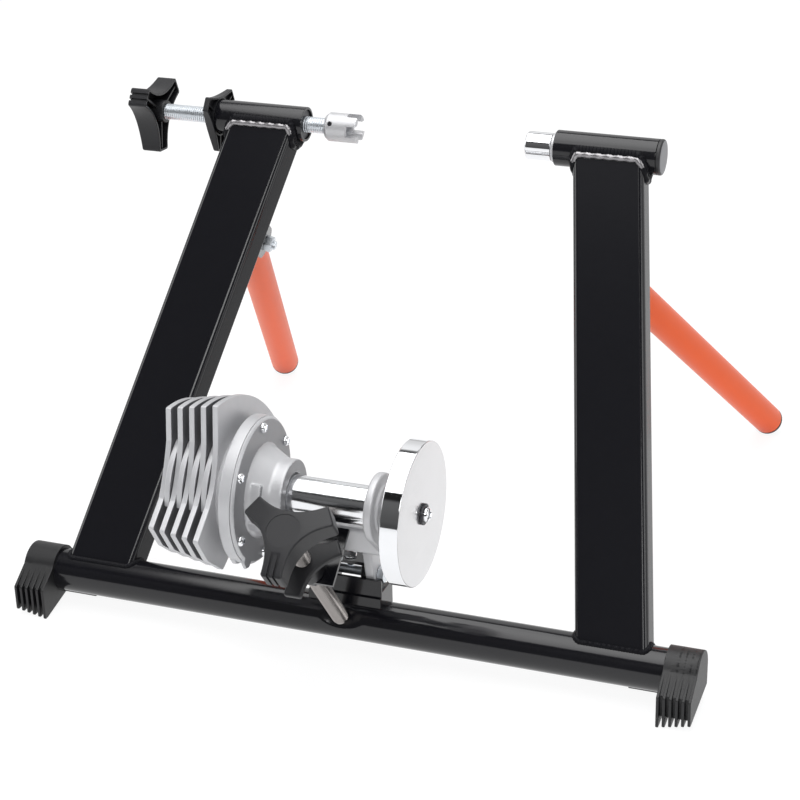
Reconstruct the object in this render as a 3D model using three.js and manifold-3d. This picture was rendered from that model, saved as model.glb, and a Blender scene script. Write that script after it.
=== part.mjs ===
// Wheel-on turbo trainer: a folding steel frame that holds a bicycle by its rear axle,
// with a tilting fluid resistance unit whose roller is pressed on the rear tyre.
// Millimetres, +Z up. X runs across the wheel, +Y toward the front of the bicycle, floor at zero.

import * as THREE from 'three';
import { mergeVertices } from 'three/addons/utils/BufferGeometryUtils.js';
import Module from 'manifold-3d';

const wasm = await Module();
wasm.setup();

const { degToRad } = THREE.MathUtils;

// Layout of the whole trainer
const wheelPlaneX = -3;
const footprintMiddleY = 189.5;
const seat = 0.3;
const running = 0.5;
const overrun = 5;

// Facets round a circle
const coarseRound = 12;
const middleRound = 16;
const fineRound = 24;
const wheelRound = 40;
const cornerSteps = 2;
const curveSteps = 6;
const footSteps = 3;
const mergeDistance = 0.0001;

// Base tube, with a pressed dent where the tension bolt pushes
const baseTube = { radius: 18.1, wall: 2, length: 580, axisHeight: 30 };
const dent = { ballRadius: 60, depth: 3, angle: degToRad(154) };

// Ribbed rubber feet on the ends of the base tube
const foot = {
	length: 28, endWall: 7, topRadius: 21, shoulderAngle: degToRad(150), rearReach: 38.5,
	rearHeight: 28, tipReach: 38, tipWidth: 4, frontLift: 11, ribCount: 6, ribThickness: 2.4,
	ribRise: 1.1, grooveDepth: 6, tongueLength: 31, tongueDrop: 3.6, tongueStart: -2.5, tongueEnd: 19,
};

// Rectangular uprights; footInset is measured in from the end of the base tube
const upright = {
	width: 60, depth: 30, corner: 5, wall: 2, footInset: 61.3, headSpread: 155.1, headInset: 3,
	beadRadius: 2.3, beadSteps: 20, beadSides: 4,
};

// Axle clamp on top of the uprights
const clamp = { axisY: 236.5, axisHeight: 374.2, tubeRadius: 15.2, tubeWall: 2.2 };
const leftClampTube = { outer: -206, inner: -119.2 };
const rightClampTube = { inner: 108.5, outer: 196.8 };
const bush = { length: 18, inset: 1.5 };
const rod = {
	radius: 7.1, outer: -262, inner: -84, neckRadius: 5.2, neckStart: -95.8, neckEnd: -91.2, chamfer: 1.2,
};
const notchedCup = {
	back: -100, coneEnd: -97, face: -69.4, radius: 12.6, backRadius: 10.2, mouthRadius: 8,
	slotWidth: 10, slotDepth: 10, rim: 0.9,
};
const cupScrew = { radius: 2, along: -93.5, sunk: 0.6, rise: degToRad(30) };
const fixedCup = {
	face: 82.8, back: 105.2, radius: 12, lip: 1.8, lipShare: 0.35, mouthRadius: 8.5, mouthDepth: 13, spigot: 22,
};
const cupCollar = { back: 109.4, radius: 12.5, step: 1 };
const endPlug = { length: 4.2, radius: 15.2, rim: 1.8, spigot: 16 };

// Three-lobed hand pieces: hollow from one side, and one lobe of a knob has grooves over its end
const knob = {
	length: 20.5, reach: 36, lobeWidth: 17, waist: 16.5, wall: 1.9, floor: 5, bevel: 1, crownRadius: 14,
	crownDrop: 3, webThickness: 1.6, webSunk: 1.5, bossRadius: 10, grooveWidth: 2.2, groovePitch: 5.2,
	grooveDepth: 1.5, grooveStart: 17,
};
const clampHandle = { face: -258.5, turn: degToRad(24.4), groovedLobe: 1, bossLength: 4 };
const clampLock = {
	face: -201.2, length: 8, reach: 30.5, lobeWidth: 13, waist: 17.8, wall: 1.5, floor: 4.4, bevel: 0.6,
	crownRadius: 14, crownDrop: 3, webThickness: 1.4, webSunk: 0.8, bossRadius: 17, turn: degToRad(23),
	counterboreDepth: 5.3, counterboreGap: 0.8,
};

// Folding legs
const leg = { radius: 14.3, wall: 1.8, headReach: 7, tipThickness: 3, tipSpigot: 14, boltRadius: 4 };
const legPivot = { along: 325, offset: 34.5, across: 3 };
const legEnd = { left: [-271.4, 512], right: [250.3, 521] };
const legBracket = {
	gap: 0.6, sheet: 2.6, earRadius: 14.5, footWidth: 44, footLength: 52, footCorner: 6, footSheet: 2.4,
	headWidth: 13, headHeight: 5.3, nutHeight: 6.5, boltTail: 3,
};

// Tilt hinge of the resistance unit, on a bracket that is welded to the base tube
const hinge = { y: 10, height: 70, boltRadius: 4, headWidth: 13, headHeight: 5.3, nutHeight: 6.5, tail: 3 };
const bracket = {
	halfLength: 32, rear: -5, step: 2, front: 25, sheet: 3, baseTop: 55.4, endTop: 60, rearTop: 71,
	earInner: 12.6, earThickness: 3.6, earRadius: 11, bridgeDepth: 17, bridgeRise: 13,
};
const bracketScrew = {
	headRadius: 5.6, headHeight: 3.6, radius: 3, length: 8, socketWidth: 4.8, socketDepth: 1.6,
};

// Resistance unit: its axis, and places along X from the wheel plane
const unit = { axisY: -48, axisHeight: 164.3 };
const housing = {
	finCount: 5, finStart: -117.6, finPitch: 10.5, finThickness: 4.6, finGrowthShare: 0.03, drumRadius: 45,
	barRadius: 51, barThickness: 4.8, barMarginShare: 0.125, flangeStart: -62.5, flangeEnd: -52.5,
	flangeRadius: 60, cavityRadius: 37, cavityStart: -106, noseRadius: 40, lugAngle: degToRad(232),
	lugReach: 62, lugWidth: 14, lugPoint: 2, lugThickness: 4,
};
const fin = {
	crownCentreY: -33, crownCentreZ: -52.7, crownRadius: 127.4, crownFront: degToRad(36.5),
	crownRear: degToRad(87.1), chinRadius: 62, chin: degToRad(330), notchTopRadius: 56,
	notchTop: degToRad(121.8), notchBottomRadius: 50, notchBottom: degToRad(172.6), shoulderRadius: 72,
	shoulder: degToRad(187.2), skirtRadius: 65, skirt: degToRad(209), soleRadius: 60.8, sole: degToRad(236.2),
	soleInnerRadius: 43, soleInner: degToRad(262),
};
const yoke = {
	flangeStart: -52.5, flangeEnd: -49.7, flangeRadius: 57.6, coneRadius: 38, coneEnd: -33, bossRadius: 28.5,
	bossEnd: -23, recessRadius: 17.8, recessDepth: 4, earStart: 45, earEnd: 52, earRadius: 28, hubStart: 44.5,
	hubEnd: 54.5, hubRadius: 19.5, lugInner: 17, lugOuter: 25, lugRadius: 11, gussetAngle: degToRad(205),
	gussetThickness: 9, coverLugReach: 65, coverLugPoint: 3,
};
const beam = {
	rearY: -44, rearTop: 139, heelY: -37, heelHeight: 115, toeY: -7, toeHeight: 97, noseY: 5,
	noseHeight: 106, shoulderY: -12, shoulderHeight: 131, crestY: -28, crestHeight: 142,
};
const coverScrew = {
	count: 6, ringRadius: 52.6, firstAngle: degToRad(24), headRadius: 4.3, headHeight: 3.6, radius: 2.5,
	length: 13, socketWidth: 4.4, socketDepth: 2,
};
const shaft = { radius: 6, start: -104, shoulderRadius: 7, end: 86 };
const bearing = { radius: 14, width: 8, raceStep: 0.6, raceWidth: 3, leftStart: -42.5, rightStart: 46 };
const seal = { start: -50.5, width: 7 };
const impeller = {
	radius: 34, start: -100, hubEnd: -80, discThickness: 4, hubRadius: 12, bladeCount: 6, bladeThickness: 3,
	bladeWidth: 14,
};
const roller = { start: -25.5, end: 43, radius: 16.3, chamfer: 0.8 };
const flywheel = { start: 69.7, end: 85, radius: 57.9, chamfer: 0.9 };
const spacer = { radius: 9.5 };
const flywheelWasher = { radius: 8.6, thickness: 2 };
const flywheelScrew = {
	headRadius: 6, headHeight: 3.8, domeRadius: 4.4, radius: 3, length: 14, socketWidth: 5, socketDepth: 2,
};

// Tension bolt: its tip lies in the dent, and heights are measured along it from the tip
const tension = {
	tipY: -15.15, tipHeight: 37.4, lean: degToRad(38.5), radius: 7, tipRadius: 11, tipBevel: 1.3,
};
const armPlate = {
	bottom: 94.5, thickness: 3, halfWidth: 21.5, rear: -9, front: 40, rootHalfWidth: 12, rootSheet: 4,
};
const armNut = { width: 17, height: 5 };
const armScrew = { headWidth: 10, headHeight: 4, radius: 3, share: 0.62, length: 14 };
const tensionLock = {
	hubBottom: 98.5, bottom: 115, length: 6, reach: 31, lobeWidth: 14.5, waist: 14.5, hubRadius: 12, bevel: 1.2,
};
const tensionKnob = {
	bottom: 156, turn: degToRad(30), groovedLobe: 2, discRadius: 13.5, discDepth: 0.4, reach: 38, lobeWidth: 18,
};

// Surfaces
function surface(color, roughness, metalness) {
	return new THREE.MeshStandardMaterial({ color, roughness, metalness });
}

const blackPaint = surface(0x0b0b0d, 0.22, 0.1);
const orangePaint = surface(0xff6a36, 0.35, 0.05);
const castAluminium = surface(0xb6b8bb, 0.42, 0.75);
const polishedSteel = surface(0xe9ebee, 0.08, 1);
const satinSteel = surface(0xc9cccf, 0.3, 0.9);
const zincPlate = surface(0xb4bac4, 0.28, 0.9);
const charcoalPlastic = surface(0x2b2c30, 0.5, 0);
const darkRubber = surface(0x2e2f32, 0.75, 0);
const darkSteel = surface(0x3b3c40, 0.45, 0.6);

const trainer = new THREE.Group();
trainer.position.y = -footprintMiddleY;
const frame = new THREE.Group();
frame.position.x = wheelPlaneX;
trainer.add(frame);

// Turns a closed geometry into a solid that can be joined and cut
function solidOf(geometry) {
	const bare = geometry.clone();
	bare.deleteAttribute('normal');
	bare.deleteAttribute('uv');
	const merged = mergeVertices(bare, mergeDistance);
	const positions = merged.attributes.position;
	const corners = merged.index.array;
	const kept = [];
	const a = new THREE.Vector3();
	const b = new THREE.Vector3();
	const c = new THREE.Vector3();
	let volume = 0;
	for (let i = 0; i < corners.length; i += 3) {
		const [p, q, r] = [corners[i], corners[i + 1], corners[i + 2]];
		if (p === q || q === r || r === p) continue;
		kept.push(p, q, r);
		a.fromBufferAttribute(positions, p);
		b.fromBufferAttribute(positions, q);
		c.fromBufferAttribute(positions, r);
		volume += a.dot(b.cross(c));
	}
	if (volume < 0) kept.reverse();
	const mesh = new wasm.Mesh({
		numProp: 3,
		vertProperties: new Float32Array(positions.array),
		triVerts: Uint32Array.from(kept),
	});
	return new wasm.Manifold(mesh);
}

// Turns a solid back into a geometry
function geometryOf(solid) {
	const mesh = solid.getMesh();
	const geometry = new THREE.BufferGeometry();
	geometry.setAttribute('position', new THREE.BufferAttribute(mesh.vertProperties, mesh.numProp));
	geometry.setIndex(new THREE.BufferAttribute(mesh.triVerts, 1));
	geometry.computeVertexNormals();
	return geometry;
}

function joined(...solids) {
	return solids.reduce((whole, next) => whole.add(next));
}

function cut(solid, ...tools) {
	return tools.reduce((rest, tool) => rest.subtract(tool), solid);
}

function addPiece(name, solid, material, parent = frame) {
	const mesh = new THREE.Mesh(geometryOf(solid), material.clone());
	mesh.name = name;
	parent.add(mesh);
	return mesh;
}

function addGroup(parent, x, y, z) {
	const group = new THREE.Group();
	group.position.set(x, y, z);
	parent.add(group);
	return group;
}

// Swaps axes so that what is drawn in X and Y and raised along Z stands in Y and Z along X
const alongX = new THREE.Matrix4().makeBasis(
	new THREE.Vector3(0, 1, 0), new THREE.Vector3(0, 0, 1), new THREE.Vector3(1, 0, 0),
);

// A body of revolution about Z, from its outline as pairs of height and radius
function turnedSolid(outline, facets = middleRound) {
	const points = outline.map(([height, radius]) => new THREE.Vector2(radius, height));
	return solidOf(new THREE.LatheGeometry(points, facets).rotateX(Math.PI / 2));
}

// The same about X
function turnedAlongX(outline, facets = middleRound) {
	const points = outline.map(([height, radius]) => new THREE.Vector2(radius, height));
	return solidOf(new THREE.LatheGeometry(points, facets).rotateX(Math.PI / 2).applyMatrix4(alongX));
}

function ringOutline(start, end, outer, inner) {
	return [[start, inner], [start, outer], [end, outer], [end, inner], [start, inner]];
}

function barOutline(start, end, radius, chamfer = 0) {
	if (chamfer === 0) return [[start, 0], [start, radius], [end, radius], [end, 0]];
	return [
		[start, 0], [start, radius - chamfer], [start + chamfer, radius],
		[end - chamfer, radius], [end, radius - chamfer], [end, 0],
	];
}

// A flat outline raised from one height to another along Z
function raised(shape, bottom, top, bevel = 0, curveSegments = cornerSteps) {
	const geometry = new THREE.ExtrudeGeometry(shape, {
		depth: top - bottom - 2 * bevel,
		bevelEnabled: bevel > 0,
		bevelThickness: bevel,
		bevelSize: bevel,
		bevelOffset: -bevel,
		bevelSegments: 1,
		curveSegments,
	});
	return geometry.translate(0, 0, bottom + bevel);
}

const raisedSolid = (...args) => solidOf(raised(...args));
const raisedAlongX = (...args) => solidOf(raised(...args).applyMatrix4(alongX));

function polygon(points) {
	return new THREE.Shape(points.map(([x, y]) => new THREE.Vector2(x, y)));
}

function circleShape(x, y, radius) {
	return polygon(circlePoints([x, y], radius));
}

function rectangle(x0, y0, x1, y1) {
	return polygon([[x0, y0], [x1, y0], [x1, y1], [x0, y1]]);
}

function roundedRectangle(width, height, radius) {
	const [x, y] = [width / 2, height / 2];
	const shape = new THREE.Shape();
	shape.moveTo(x - radius, -y);
	shape.absarc(x - radius, radius - y, radius, -Math.PI / 2, 0);
	shape.absarc(x - radius, y - radius, radius, 0, Math.PI / 2);
	shape.absarc(radius - x, y - radius, radius, Math.PI / 2, Math.PI);
	shape.absarc(radius - x, radius - y, radius, Math.PI, 1.5 * Math.PI);
	return shape;
}

function hexagon(width) {
	const corners = [0, 1, 2, 3, 4, 5].map((corner) => {
		const angle = corner * Math.PI / 3;
		return [width / Math.sqrt(3) * Math.cos(angle), width / Math.sqrt(3) * Math.sin(angle)];
	});
	return polygon(corners);
}

const polar = (radius, angle) => [radius * Math.cos(angle), radius * Math.sin(angle)];

// Base tube
function makeBaseTube() {
	const half = baseTube.length / 2;
	const outer = turnedAlongX(barOutline(-half, half, baseTube.radius), fineRound);
	const bore = turnedAlongX(
		barOutline(-half - overrun, half + overrun, baseTube.radius - baseTube.wall), fineRound,
	);
	const [y, z] = polar(baseTube.radius - dent.depth + dent.ballRadius, dent.angle);
	const ball = (radius) => solidOf(
		new THREE.SphereGeometry(radius, fineRound, middleRound).translate(wheelPlaneX, y, z),
	);
	const scoop = ball(dent.ballRadius);
	const backOfScoop = ball(dent.ballRadius + baseTube.wall);
	const tube = cut(outer, scoop, cut(bore, backOfScoop));
	addPiece('base_tube', tube, blackPaint, addGroup(trainer, 0, 0, baseTube.axisHeight));
}

// Outline of a foot about the tube's axis; depth draws it in below the shoulder
function footShape(depth, lift) {
	const floor = lift - baseTube.axisHeight;
	const shape = new THREE.Shape();
	const [shoulderY, shoulderZ] = polar(foot.topRadius, foot.shoulderAngle);
	shape.moveTo(foot.topRadius - depth / 2, 0);
	shape.absarc(0, 0, foot.topRadius - depth / 2, 0, 0);
	shape.lineTo(foot.topRadius, 0);
	shape.absarc(0, 0, foot.topRadius, 0, foot.shoulderAngle);
	shape.lineTo(shoulderY, shoulderZ);
	shape.lineTo(-foot.rearReach + depth / 2, foot.rearHeight - baseTube.axisHeight);
	shape.lineTo(-foot.tipReach + depth, floor + depth);
	shape.lineTo(-foot.tipReach + foot.tipWidth + depth, floor + depth);
	shape.lineTo(foot.topRadius - depth / 2, foot.frontLift - baseTube.axisHeight + depth);
	return shape;
}

// Ribbed foot; side is -1 at the left and 1 at the right
function makeFoot(name, side) {
	const innerFace = baseTube.length / 2 + foot.endWall - foot.length;
	const outerFace = innerFace + foot.length;
	const pitch = (foot.length - foot.ribThickness) / (foot.ribCount - 1);
	let body = raisedAlongX(
		footShape(foot.grooveDepth, foot.ribRise), innerFace, outerFace - foot.ribThickness, 0, footSteps,
	);
	for (let rib = 0; rib < foot.ribCount; rib++) {
		const start = innerFace + rib * pitch;
		body = body.add(raisedAlongX(
			footShape(0, rib * foot.ribRise), start, start + foot.ribThickness, 0, footSteps,
		));
	}
	const tongueTop = -baseTube.radius / 2;
	const tongue = raisedAlongX(polygon([
		[foot.tongueStart, -baseTube.radius - foot.tongueDrop],
		[foot.tongueEnd, tongueTop - foot.tongueDrop],
		[foot.tongueEnd, tongueTop],
		[foot.tongueStart, tongueTop],
	]), innerFace - foot.tongueLength, innerFace + foot.ribThickness);
	const bore = turnedAlongX(barOutline(
		innerFace - foot.tongueLength - overrun, baseTube.length / 2 + seat, baseTube.radius + seat,
	), fineRound);
	const group = addGroup(trainer, 0, 0, baseTube.axisHeight);
	const solid = cut(joined(body, tongue), bore);
	addPiece(name, side > 0 ? solid : solid.mirror([1, 0, 0]), darkRubber, group);
}

// Axes of an upright: along it, across its broad face, and out of its far face
function uprightAxes(side) {
	const spread = baseTube.length / 2 - upright.footInset;
	const base = new THREE.Vector3(side * spread, 0, baseTube.axisHeight);
	const head = new THREE.Vector3(side * upright.headSpread, clamp.axisY, clamp.axisHeight);
	const along = head.clone().sub(base);
	const length = along.length();
	along.normalize();
	const out = new THREE.Vector3(0, along.z, -along.y).normalize();
	const across = out.clone().cross(along);
	return { base, along, across, out, length, spread };
}

// Distance along the upright at which a line of its outline meets a tube that runs along X
function meetingHeight(axes, x, y, tubeRadius, headward) {
	const start = axes.across.clone().multiplyScalar(x).addScaledVector(axes.out, y);
	const slope = Math.hypot(axes.along.y, axes.along.z);
	const middle = -(start.y * axes.along.y + start.z * axes.along.z) / slope ** 2;
	const nearest = start.addScaledVector(axes.along, middle);
	const reach = Math.sqrt(Math.max(0, tubeRadius ** 2 - nearest.y ** 2 - nearest.z ** 2)) / slope;
	return headward ? axes.length + middle - reach : middle + reach;
}

// A closed bead that follows a closed curve: a torus whose rings are moved to the curve
function beadAlong(curve, radius, steps, sides) {
	const geometry = new THREE.TorusGeometry(1, radius, sides, steps);
	const positions = geometry.attributes.position;
	const frames = curve.computeFrenetFrames(steps, true);
	for (let side = 0; side <= sides; side++) {
		for (let step = 0; step <= steps; step++) {
			const angle = side / sides * 2 * Math.PI;
			const ring = step % steps;
			const point = curve.getPointAt(ring / steps)
				.addScaledVector(frames.normals[ring], radius * Math.cos(angle))
				.addScaledVector(frames.binormals[ring], radius * Math.sin(angle));
			positions.setXYZ(side * (steps + 1) + step, point.x, point.y, point.z);
		}
	}
	return solidOf(geometry);
}

// Upright with its weld beads; it is shaped to the two tubes that it stands between
function makeUpright(name, side) {
	const axes = uprightAxes(side);
	const place = new THREE.Matrix4().makeBasis(axes.across, axes.out, axes.along).setPosition(axes.base);
	const outline = roundedRectangle(upright.width, upright.depth, upright.corner);
	const inner = roundedRectangle(
		upright.width - 2 * upright.wall, upright.depth - 2 * upright.wall, upright.corner - upright.wall,
	);
	const top = axes.length - upright.headInset;
	const outer = solidOf(raised(outline, 0, top).applyMatrix4(place));
	const hollow = solidOf(raised(inner, -overrun, axes.length + overrun, 0, 1).applyMatrix4(place));
	const beads = [[baseTube.radius, false], [clamp.tubeRadius, true]].map(([radius, headward]) => {
		const path = outline.getSpacedPoints(upright.beadSteps).slice(0, -1).map((point) => {
			const height = meetingHeight(axes, point.x, point.y, radius, headward);
			return new THREE.Vector3(point.x, point.y, height).applyMatrix4(place);
		});
		const curve = new THREE.CatmullRomCurve3(path, true);
		return beadAlong(curve, upright.beadRadius, upright.beadSteps, upright.beadSides);
	});
	const reach = axes.spread + upright.width + overrun;
	const tubeTool = (radius, y, z) => solidOf(
		new THREE.CylinderGeometry(radius, radius, 2 * reach, fineRound).rotateZ(Math.PI / 2).translate(0, y, z),
	);
	const solid = cut(
		joined(outer, ...beads),
		hollow,
		tubeTool(baseTube.radius + seat, 0, baseTube.axisHeight),
		tubeTool(clamp.tubeRadius + seat, clamp.axisY, clamp.axisHeight),
	);
	addPiece(name, solid, blackPaint);
}

// Outline of a three-lobed hand piece, drawn in by a margin
function lobedShape({ reach, lobeWidth, waist, turn }, margin = 0) {
	const half = lobeWidth / 2 - margin;
	const cornerAngle = Math.atan2(half, reach - margin);
	const cornerRadius = Math.hypot(half, reach - margin);
	const valley = Math.PI / 3;
	const middle = cornerRadius * Math.cos(valley - cornerAngle);
	const shape = new THREE.Shape();
	for (let lobe = 0; lobe < 3; lobe++) {
		const angle = turn + lobe * 2 * valley;
		const first = polar(cornerRadius, angle - cornerAngle);
		const last = polar(cornerRadius, angle + cornerAngle);
		const control = polar(2 * (waist - margin) - middle, angle + valley);
		const next = polar(cornerRadius, angle + 2 * valley - cornerAngle);
		if (lobe === 0) shape.moveTo(...first);
		shape.lineTo(...last);
		shape.quadraticCurveTo(...control, ...next);
	}
	return shape;
}

// Hand piece with a crowned far face; it stands on zero, and is hollow from there round webs and a boss
function makeLobed(piece) {
	const { length, reach, lobeWidth, wall, floor, bevel, crownRadius, crownDrop, turn } = piece;
	const corner = Math.hypot(reach, lobeWidth / 2);
	const envelope = turnedSolid([
		[-overrun, 0], [-overrun, corner + overrun], [length - crownDrop, corner + overrun],
		[length - crownDrop, corner], [length, crownRadius], [length, 0],
	], fineRound);
	const body = raisedSolid(lobedShape(piece), 0, length, bevel, curveSteps).intersect(envelope);
	const { webThickness, webSunk, bossRadius } = piece;
	const webs = [0, 1, 2].map((lobe) => {
		const web = raised(rectangle(0, -webThickness / 2, reach, webThickness / 2), webSunk, length);
		return solidOf(web.rotateZ(turn + lobe * 2 * Math.PI / 3));
	});
	const hollow = raisedSolid(lobedShape(piece, wall), -overrun, length - floor, 0, curveSteps);
	const boss = turnedSolid(barOutline(0, length, bossRadius));
	return cut(body, cut(hollow, boss, ...webs));
}

// Grooves that run out over the far face of one lobe and back along its end
function lobeGrooves(piece) {
	const { length, reach, grooveWidth, groovePitch, grooveDepth, grooveStart, turn, groovedLobe } = piece;
	const root = reach - grooveDepth;
	const section = polygon([
		[grooveStart, length], [root, length - knob.crownDrop - grooveDepth], [root, -overrun],
		[reach + overrun, -overrun], [reach + overrun, length + overrun], [grooveStart, length + overrun],
	]);
	return [-groovePitch / 2, groovePitch / 2].map((offset) => {
		const groove = raised(section, offset - grooveWidth / 2, offset + grooveWidth / 2);
		return solidOf(groove.rotateX(Math.PI / 2).rotateZ(turn + groovedLobe * 2 * Math.PI / 3));
	});
}

// Left half of the axle clamp: tube, threaded bushes, screw, handle, lock and notched cup
function makeLeftClamp() {
	const group = addGroup(frame, 0, clamp.axisY, clamp.axisHeight);
	const bore = clamp.tubeRadius - clamp.tubeWall;
	const { outer, inner } = leftClampTube;
	const tube = turnedAlongX(ringOutline(outer, inner, clamp.tubeRadius, bore), fineRound);
	addPiece('clamp_tube_left', tube, blackPaint, group);
	const starts = { clamp_bush_outer: outer + bush.inset, clamp_bush_inner: inner - bush.inset - bush.length };
	for (const [name, start] of Object.entries(starts)) {
		const outline = ringOutline(start, start + bush.length, bore - seat / 2, rod.radius + seat);
		addPiece(name, turnedAlongX(outline), darkSteel, group);
	}
	const screw = turnedAlongX([
		[rod.outer, 0], [rod.outer, rod.radius], [rod.neckStart, rod.radius], [rod.neckStart, rod.neckRadius],
		[rod.neckEnd, rod.neckRadius], [rod.neckEnd, rod.radius], [rod.inner - rod.chamfer, rod.radius],
		[rod.inner, rod.radius - rod.chamfer], [rod.inner, 0],
	]);
	addPiece('clamp_screw', screw, zincPlate, group);
	addPiece('clamp_handle', makeClampHandle(), charcoalPlastic, group);
	const { length, counterboreDepth, counterboreGap } = clampLock;
	const lock = cut(
		makeLobed(clampLock),
		turnedSolid(barOutline(-overrun, counterboreDepth, clamp.tubeRadius + counterboreGap), fineRound),
		turnedSolid(barOutline(-overrun, length + overrun, rod.radius + seat)),
	);
	addPiece('clamp_lock_nut', facedOutward(lock, clampLock.face), charcoalPlastic, group);
	makeNotchedCup(group);
}

// Turns a hand piece that stands on zero so that its far face looks to the left, away from the wheel
function facedOutward(solid, face) {
	const turned = geometryOf(solid).applyMatrix4(alongX).applyMatrix4(new THREE.Matrix4().makeScale(-1, 1, 1));
	return solidOf(turned.translate(face, 0, 0));
}

// Clamp handle, with a boss that holds the end of the screw
function makeClampHandle() {
	const piece = { ...knob, ...clampHandle };
	const holeEnd = clampHandle.face - rod.outer + seat;
	const boss = turnedSolid(barOutline(-clampHandle.bossLength, knob.length / 2, knob.bossRadius));
	const handle = cut(
		joined(makeLobed(piece), boss),
		...lobeGrooves(piece),
		turnedSolid(barOutline(-clampHandle.bossLength - overrun, holeEnd, rod.radius + seat)),
	);
	return facedOutward(handle, clampHandle.face);
}

// Cup on the end of the clamp screw, with crossing slots that leave four teeth
function makeNotchedCup(group) {
	const { back, coneEnd, face, radius, backRadius, mouthRadius, slotWidth, slotDepth, rim } = notchedCup;
	const root = face - slotDepth;
	const body = turnedAlongX([
		[back, rod.radius + seat], [back, backRadius], [coneEnd, radius], [face - rim, radius],
		[face, radius - rim], [face, mouthRadius], [root, mouthRadius],
		[rod.inner + seat, rod.radius + seat], [back, rod.radius + seat],
	], fineRound);
	const slot = rectangle(-slotWidth / 2, -radius - overrun, slotWidth / 2, radius + overrun);
	const crossSlot = rectangle(-radius - overrun, -slotWidth / 2, radius + overrun, slotWidth / 2);
	const outward = new THREE.Vector3(0, -Math.cos(cupScrew.rise), Math.sin(cupScrew.rise));
	const cup = cut(
		body,
		raisedAlongX(slot, root, face + overrun),
		raisedAlongX(crossSlot, root, face + overrun),
		radialPin(cupScrew.along, outward, rod.neckRadius, radius + overrun, cupScrew.radius + seat),
	);
	addPiece('notched_cup', cup, satinSteel, group);
	const pin = radialPin(
		cupScrew.along, outward, rod.neckRadius + seat, radius - cupScrew.sunk, cupScrew.radius,
	);
	addPiece('cup_set_screw', pin, darkSteel, group);
}

// A round pin that points away from the X axis
function radialPin(x, outward, from, to, radius) {
	const geometry = new THREE.CylinderGeometry(radius, radius, to - from, coarseRound);
	const turn = new THREE.Quaternion().setFromUnitVectors(new THREE.Vector3(0, 1, 0), outward);
	const middle = outward.clone().multiplyScalar((from + to) / 2);
	return solidOf(geometry.applyQuaternion(turn).translate(x + middle.x, middle.y, middle.z));
}

// Right half of the axle clamp: tube, fixed cup with its collar, and end plug
function makeRightClamp() {
	const group = addGroup(frame, 0, clamp.axisY, clamp.axisHeight);
	const bore = clamp.tubeRadius - clamp.tubeWall;
	const { inner, outer } = rightClampTube;
	const tube = turnedAlongX(ringOutline(inner, outer, clamp.tubeRadius, bore), fineRound);
	addPiece('clamp_tube_right', tube, blackPaint, group);
	const { face, back, radius, lip, lipShare, mouthRadius, mouthDepth, spigot } = fixedCup;
	const core = radius / 2;
	const lipStep = lip * lipShare;
	addPiece('fixed_cup', turnedAlongX([
		[face, mouthRadius], [face, radius - lip], [face + lipStep, radius - lipStep], [face + lip, radius],
		[back, radius], [back, core], [back + spigot, core], [back + spigot, 0],
		[face + mouthDepth, 0], [face + mouthDepth - lip, mouthRadius], [face, mouthRadius],
	], fineRound), polishedSteel, group);
	const spigotRadius = bore - seat / 2;
	addPiece('cup_collar', turnedAlongX([
		[back + seat, core + seat], [back + seat, cupCollar.radius - cupCollar.step],
		[back + cupCollar.step, cupCollar.radius], [cupCollar.back - cupCollar.step, cupCollar.radius],
		[cupCollar.back - cupCollar.step, spigotRadius], [back + spigot, spigotRadius],
		[back + spigot, core + seat], [back + seat, core + seat],
	], middleRound), satinSteel, group);
	addPiece('clamp_end_plug', turnedAlongX([
		[outer - endPlug.spigot, 0], [outer - endPlug.spigot, spigotRadius], [outer + seat, spigotRadius],
		[outer + seat, endPlug.radius], [outer + endPlug.length - endPlug.rim, endPlug.radius],
		[outer + endPlug.length, endPlug.radius - endPlug.rim], [outer + endPlug.length, 0],
	], fineRound), darkRubber, group);
}

// Folding leg with its bracket, bolt, nut and tip
function makeLeg(side, word) {
	const axes = uprightAxes(side);
	const pivot = axes.base.clone()
		.addScaledVector(axes.along, legPivot.along)
		.addScaledVector(axes.out, legPivot.offset)
		.addScaledVector(axes.across, -side * legPivot.across);
	const [endX, endY] = legEnd[word];
	const end = new THREE.Vector3(endX, endY, 0);
	// The rim of the tip stands on the floor, so its centre is raised by the leg's slant
	for (let pass = 0; pass < 4; pass++) {
		const slant = end.clone().sub(pivot).normalize();
		end.z = leg.radius * Math.sqrt(1 - slant.z ** 2);
	}
	const down = end.clone().sub(pivot);
	const length = down.length();
	down.normalize();
	const folded = axes.along.clone().negate();
	const pin = down.clone().cross(folded).normalize();
	if (pin.x < 0) pin.negate();
	const up = down.clone().negate();
	const group = addGroup(frame, pivot.x, pivot.y, pivot.z);
	group.quaternion.setFromRotationMatrix(new THREE.Matrix4().makeBasis(pin, up.clone().cross(pin), up));
	const tubeEnd = leg.tipThickness + seat - length;
	const pinHole = turnedAlongX(
		barOutline(-leg.radius - overrun, leg.radius + overrun, leg.boltRadius + seat), coarseRound,
	);
	const tube = turnedSolid(ringOutline(tubeEnd, leg.headReach, leg.radius, leg.radius - leg.wall), fineRound);
	addPiece(`leg_${word}`, cut(tube, pinHole), orangePaint, group);
	const plug = leg.radius - leg.wall - seat;
	addPiece(`leg_tip_${word}`, turnedSolid([
		[-length, 0], [-length, leg.radius], [-length + leg.tipThickness, leg.radius],
		[-length + leg.tipThickness, plug], [tubeEnd + leg.tipSpigot, plug], [tubeEnd + leg.tipSpigot, 0],
	], fineRound), darkRubber, group);
	makeLegBracket(side, word, axes, group);
}

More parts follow.
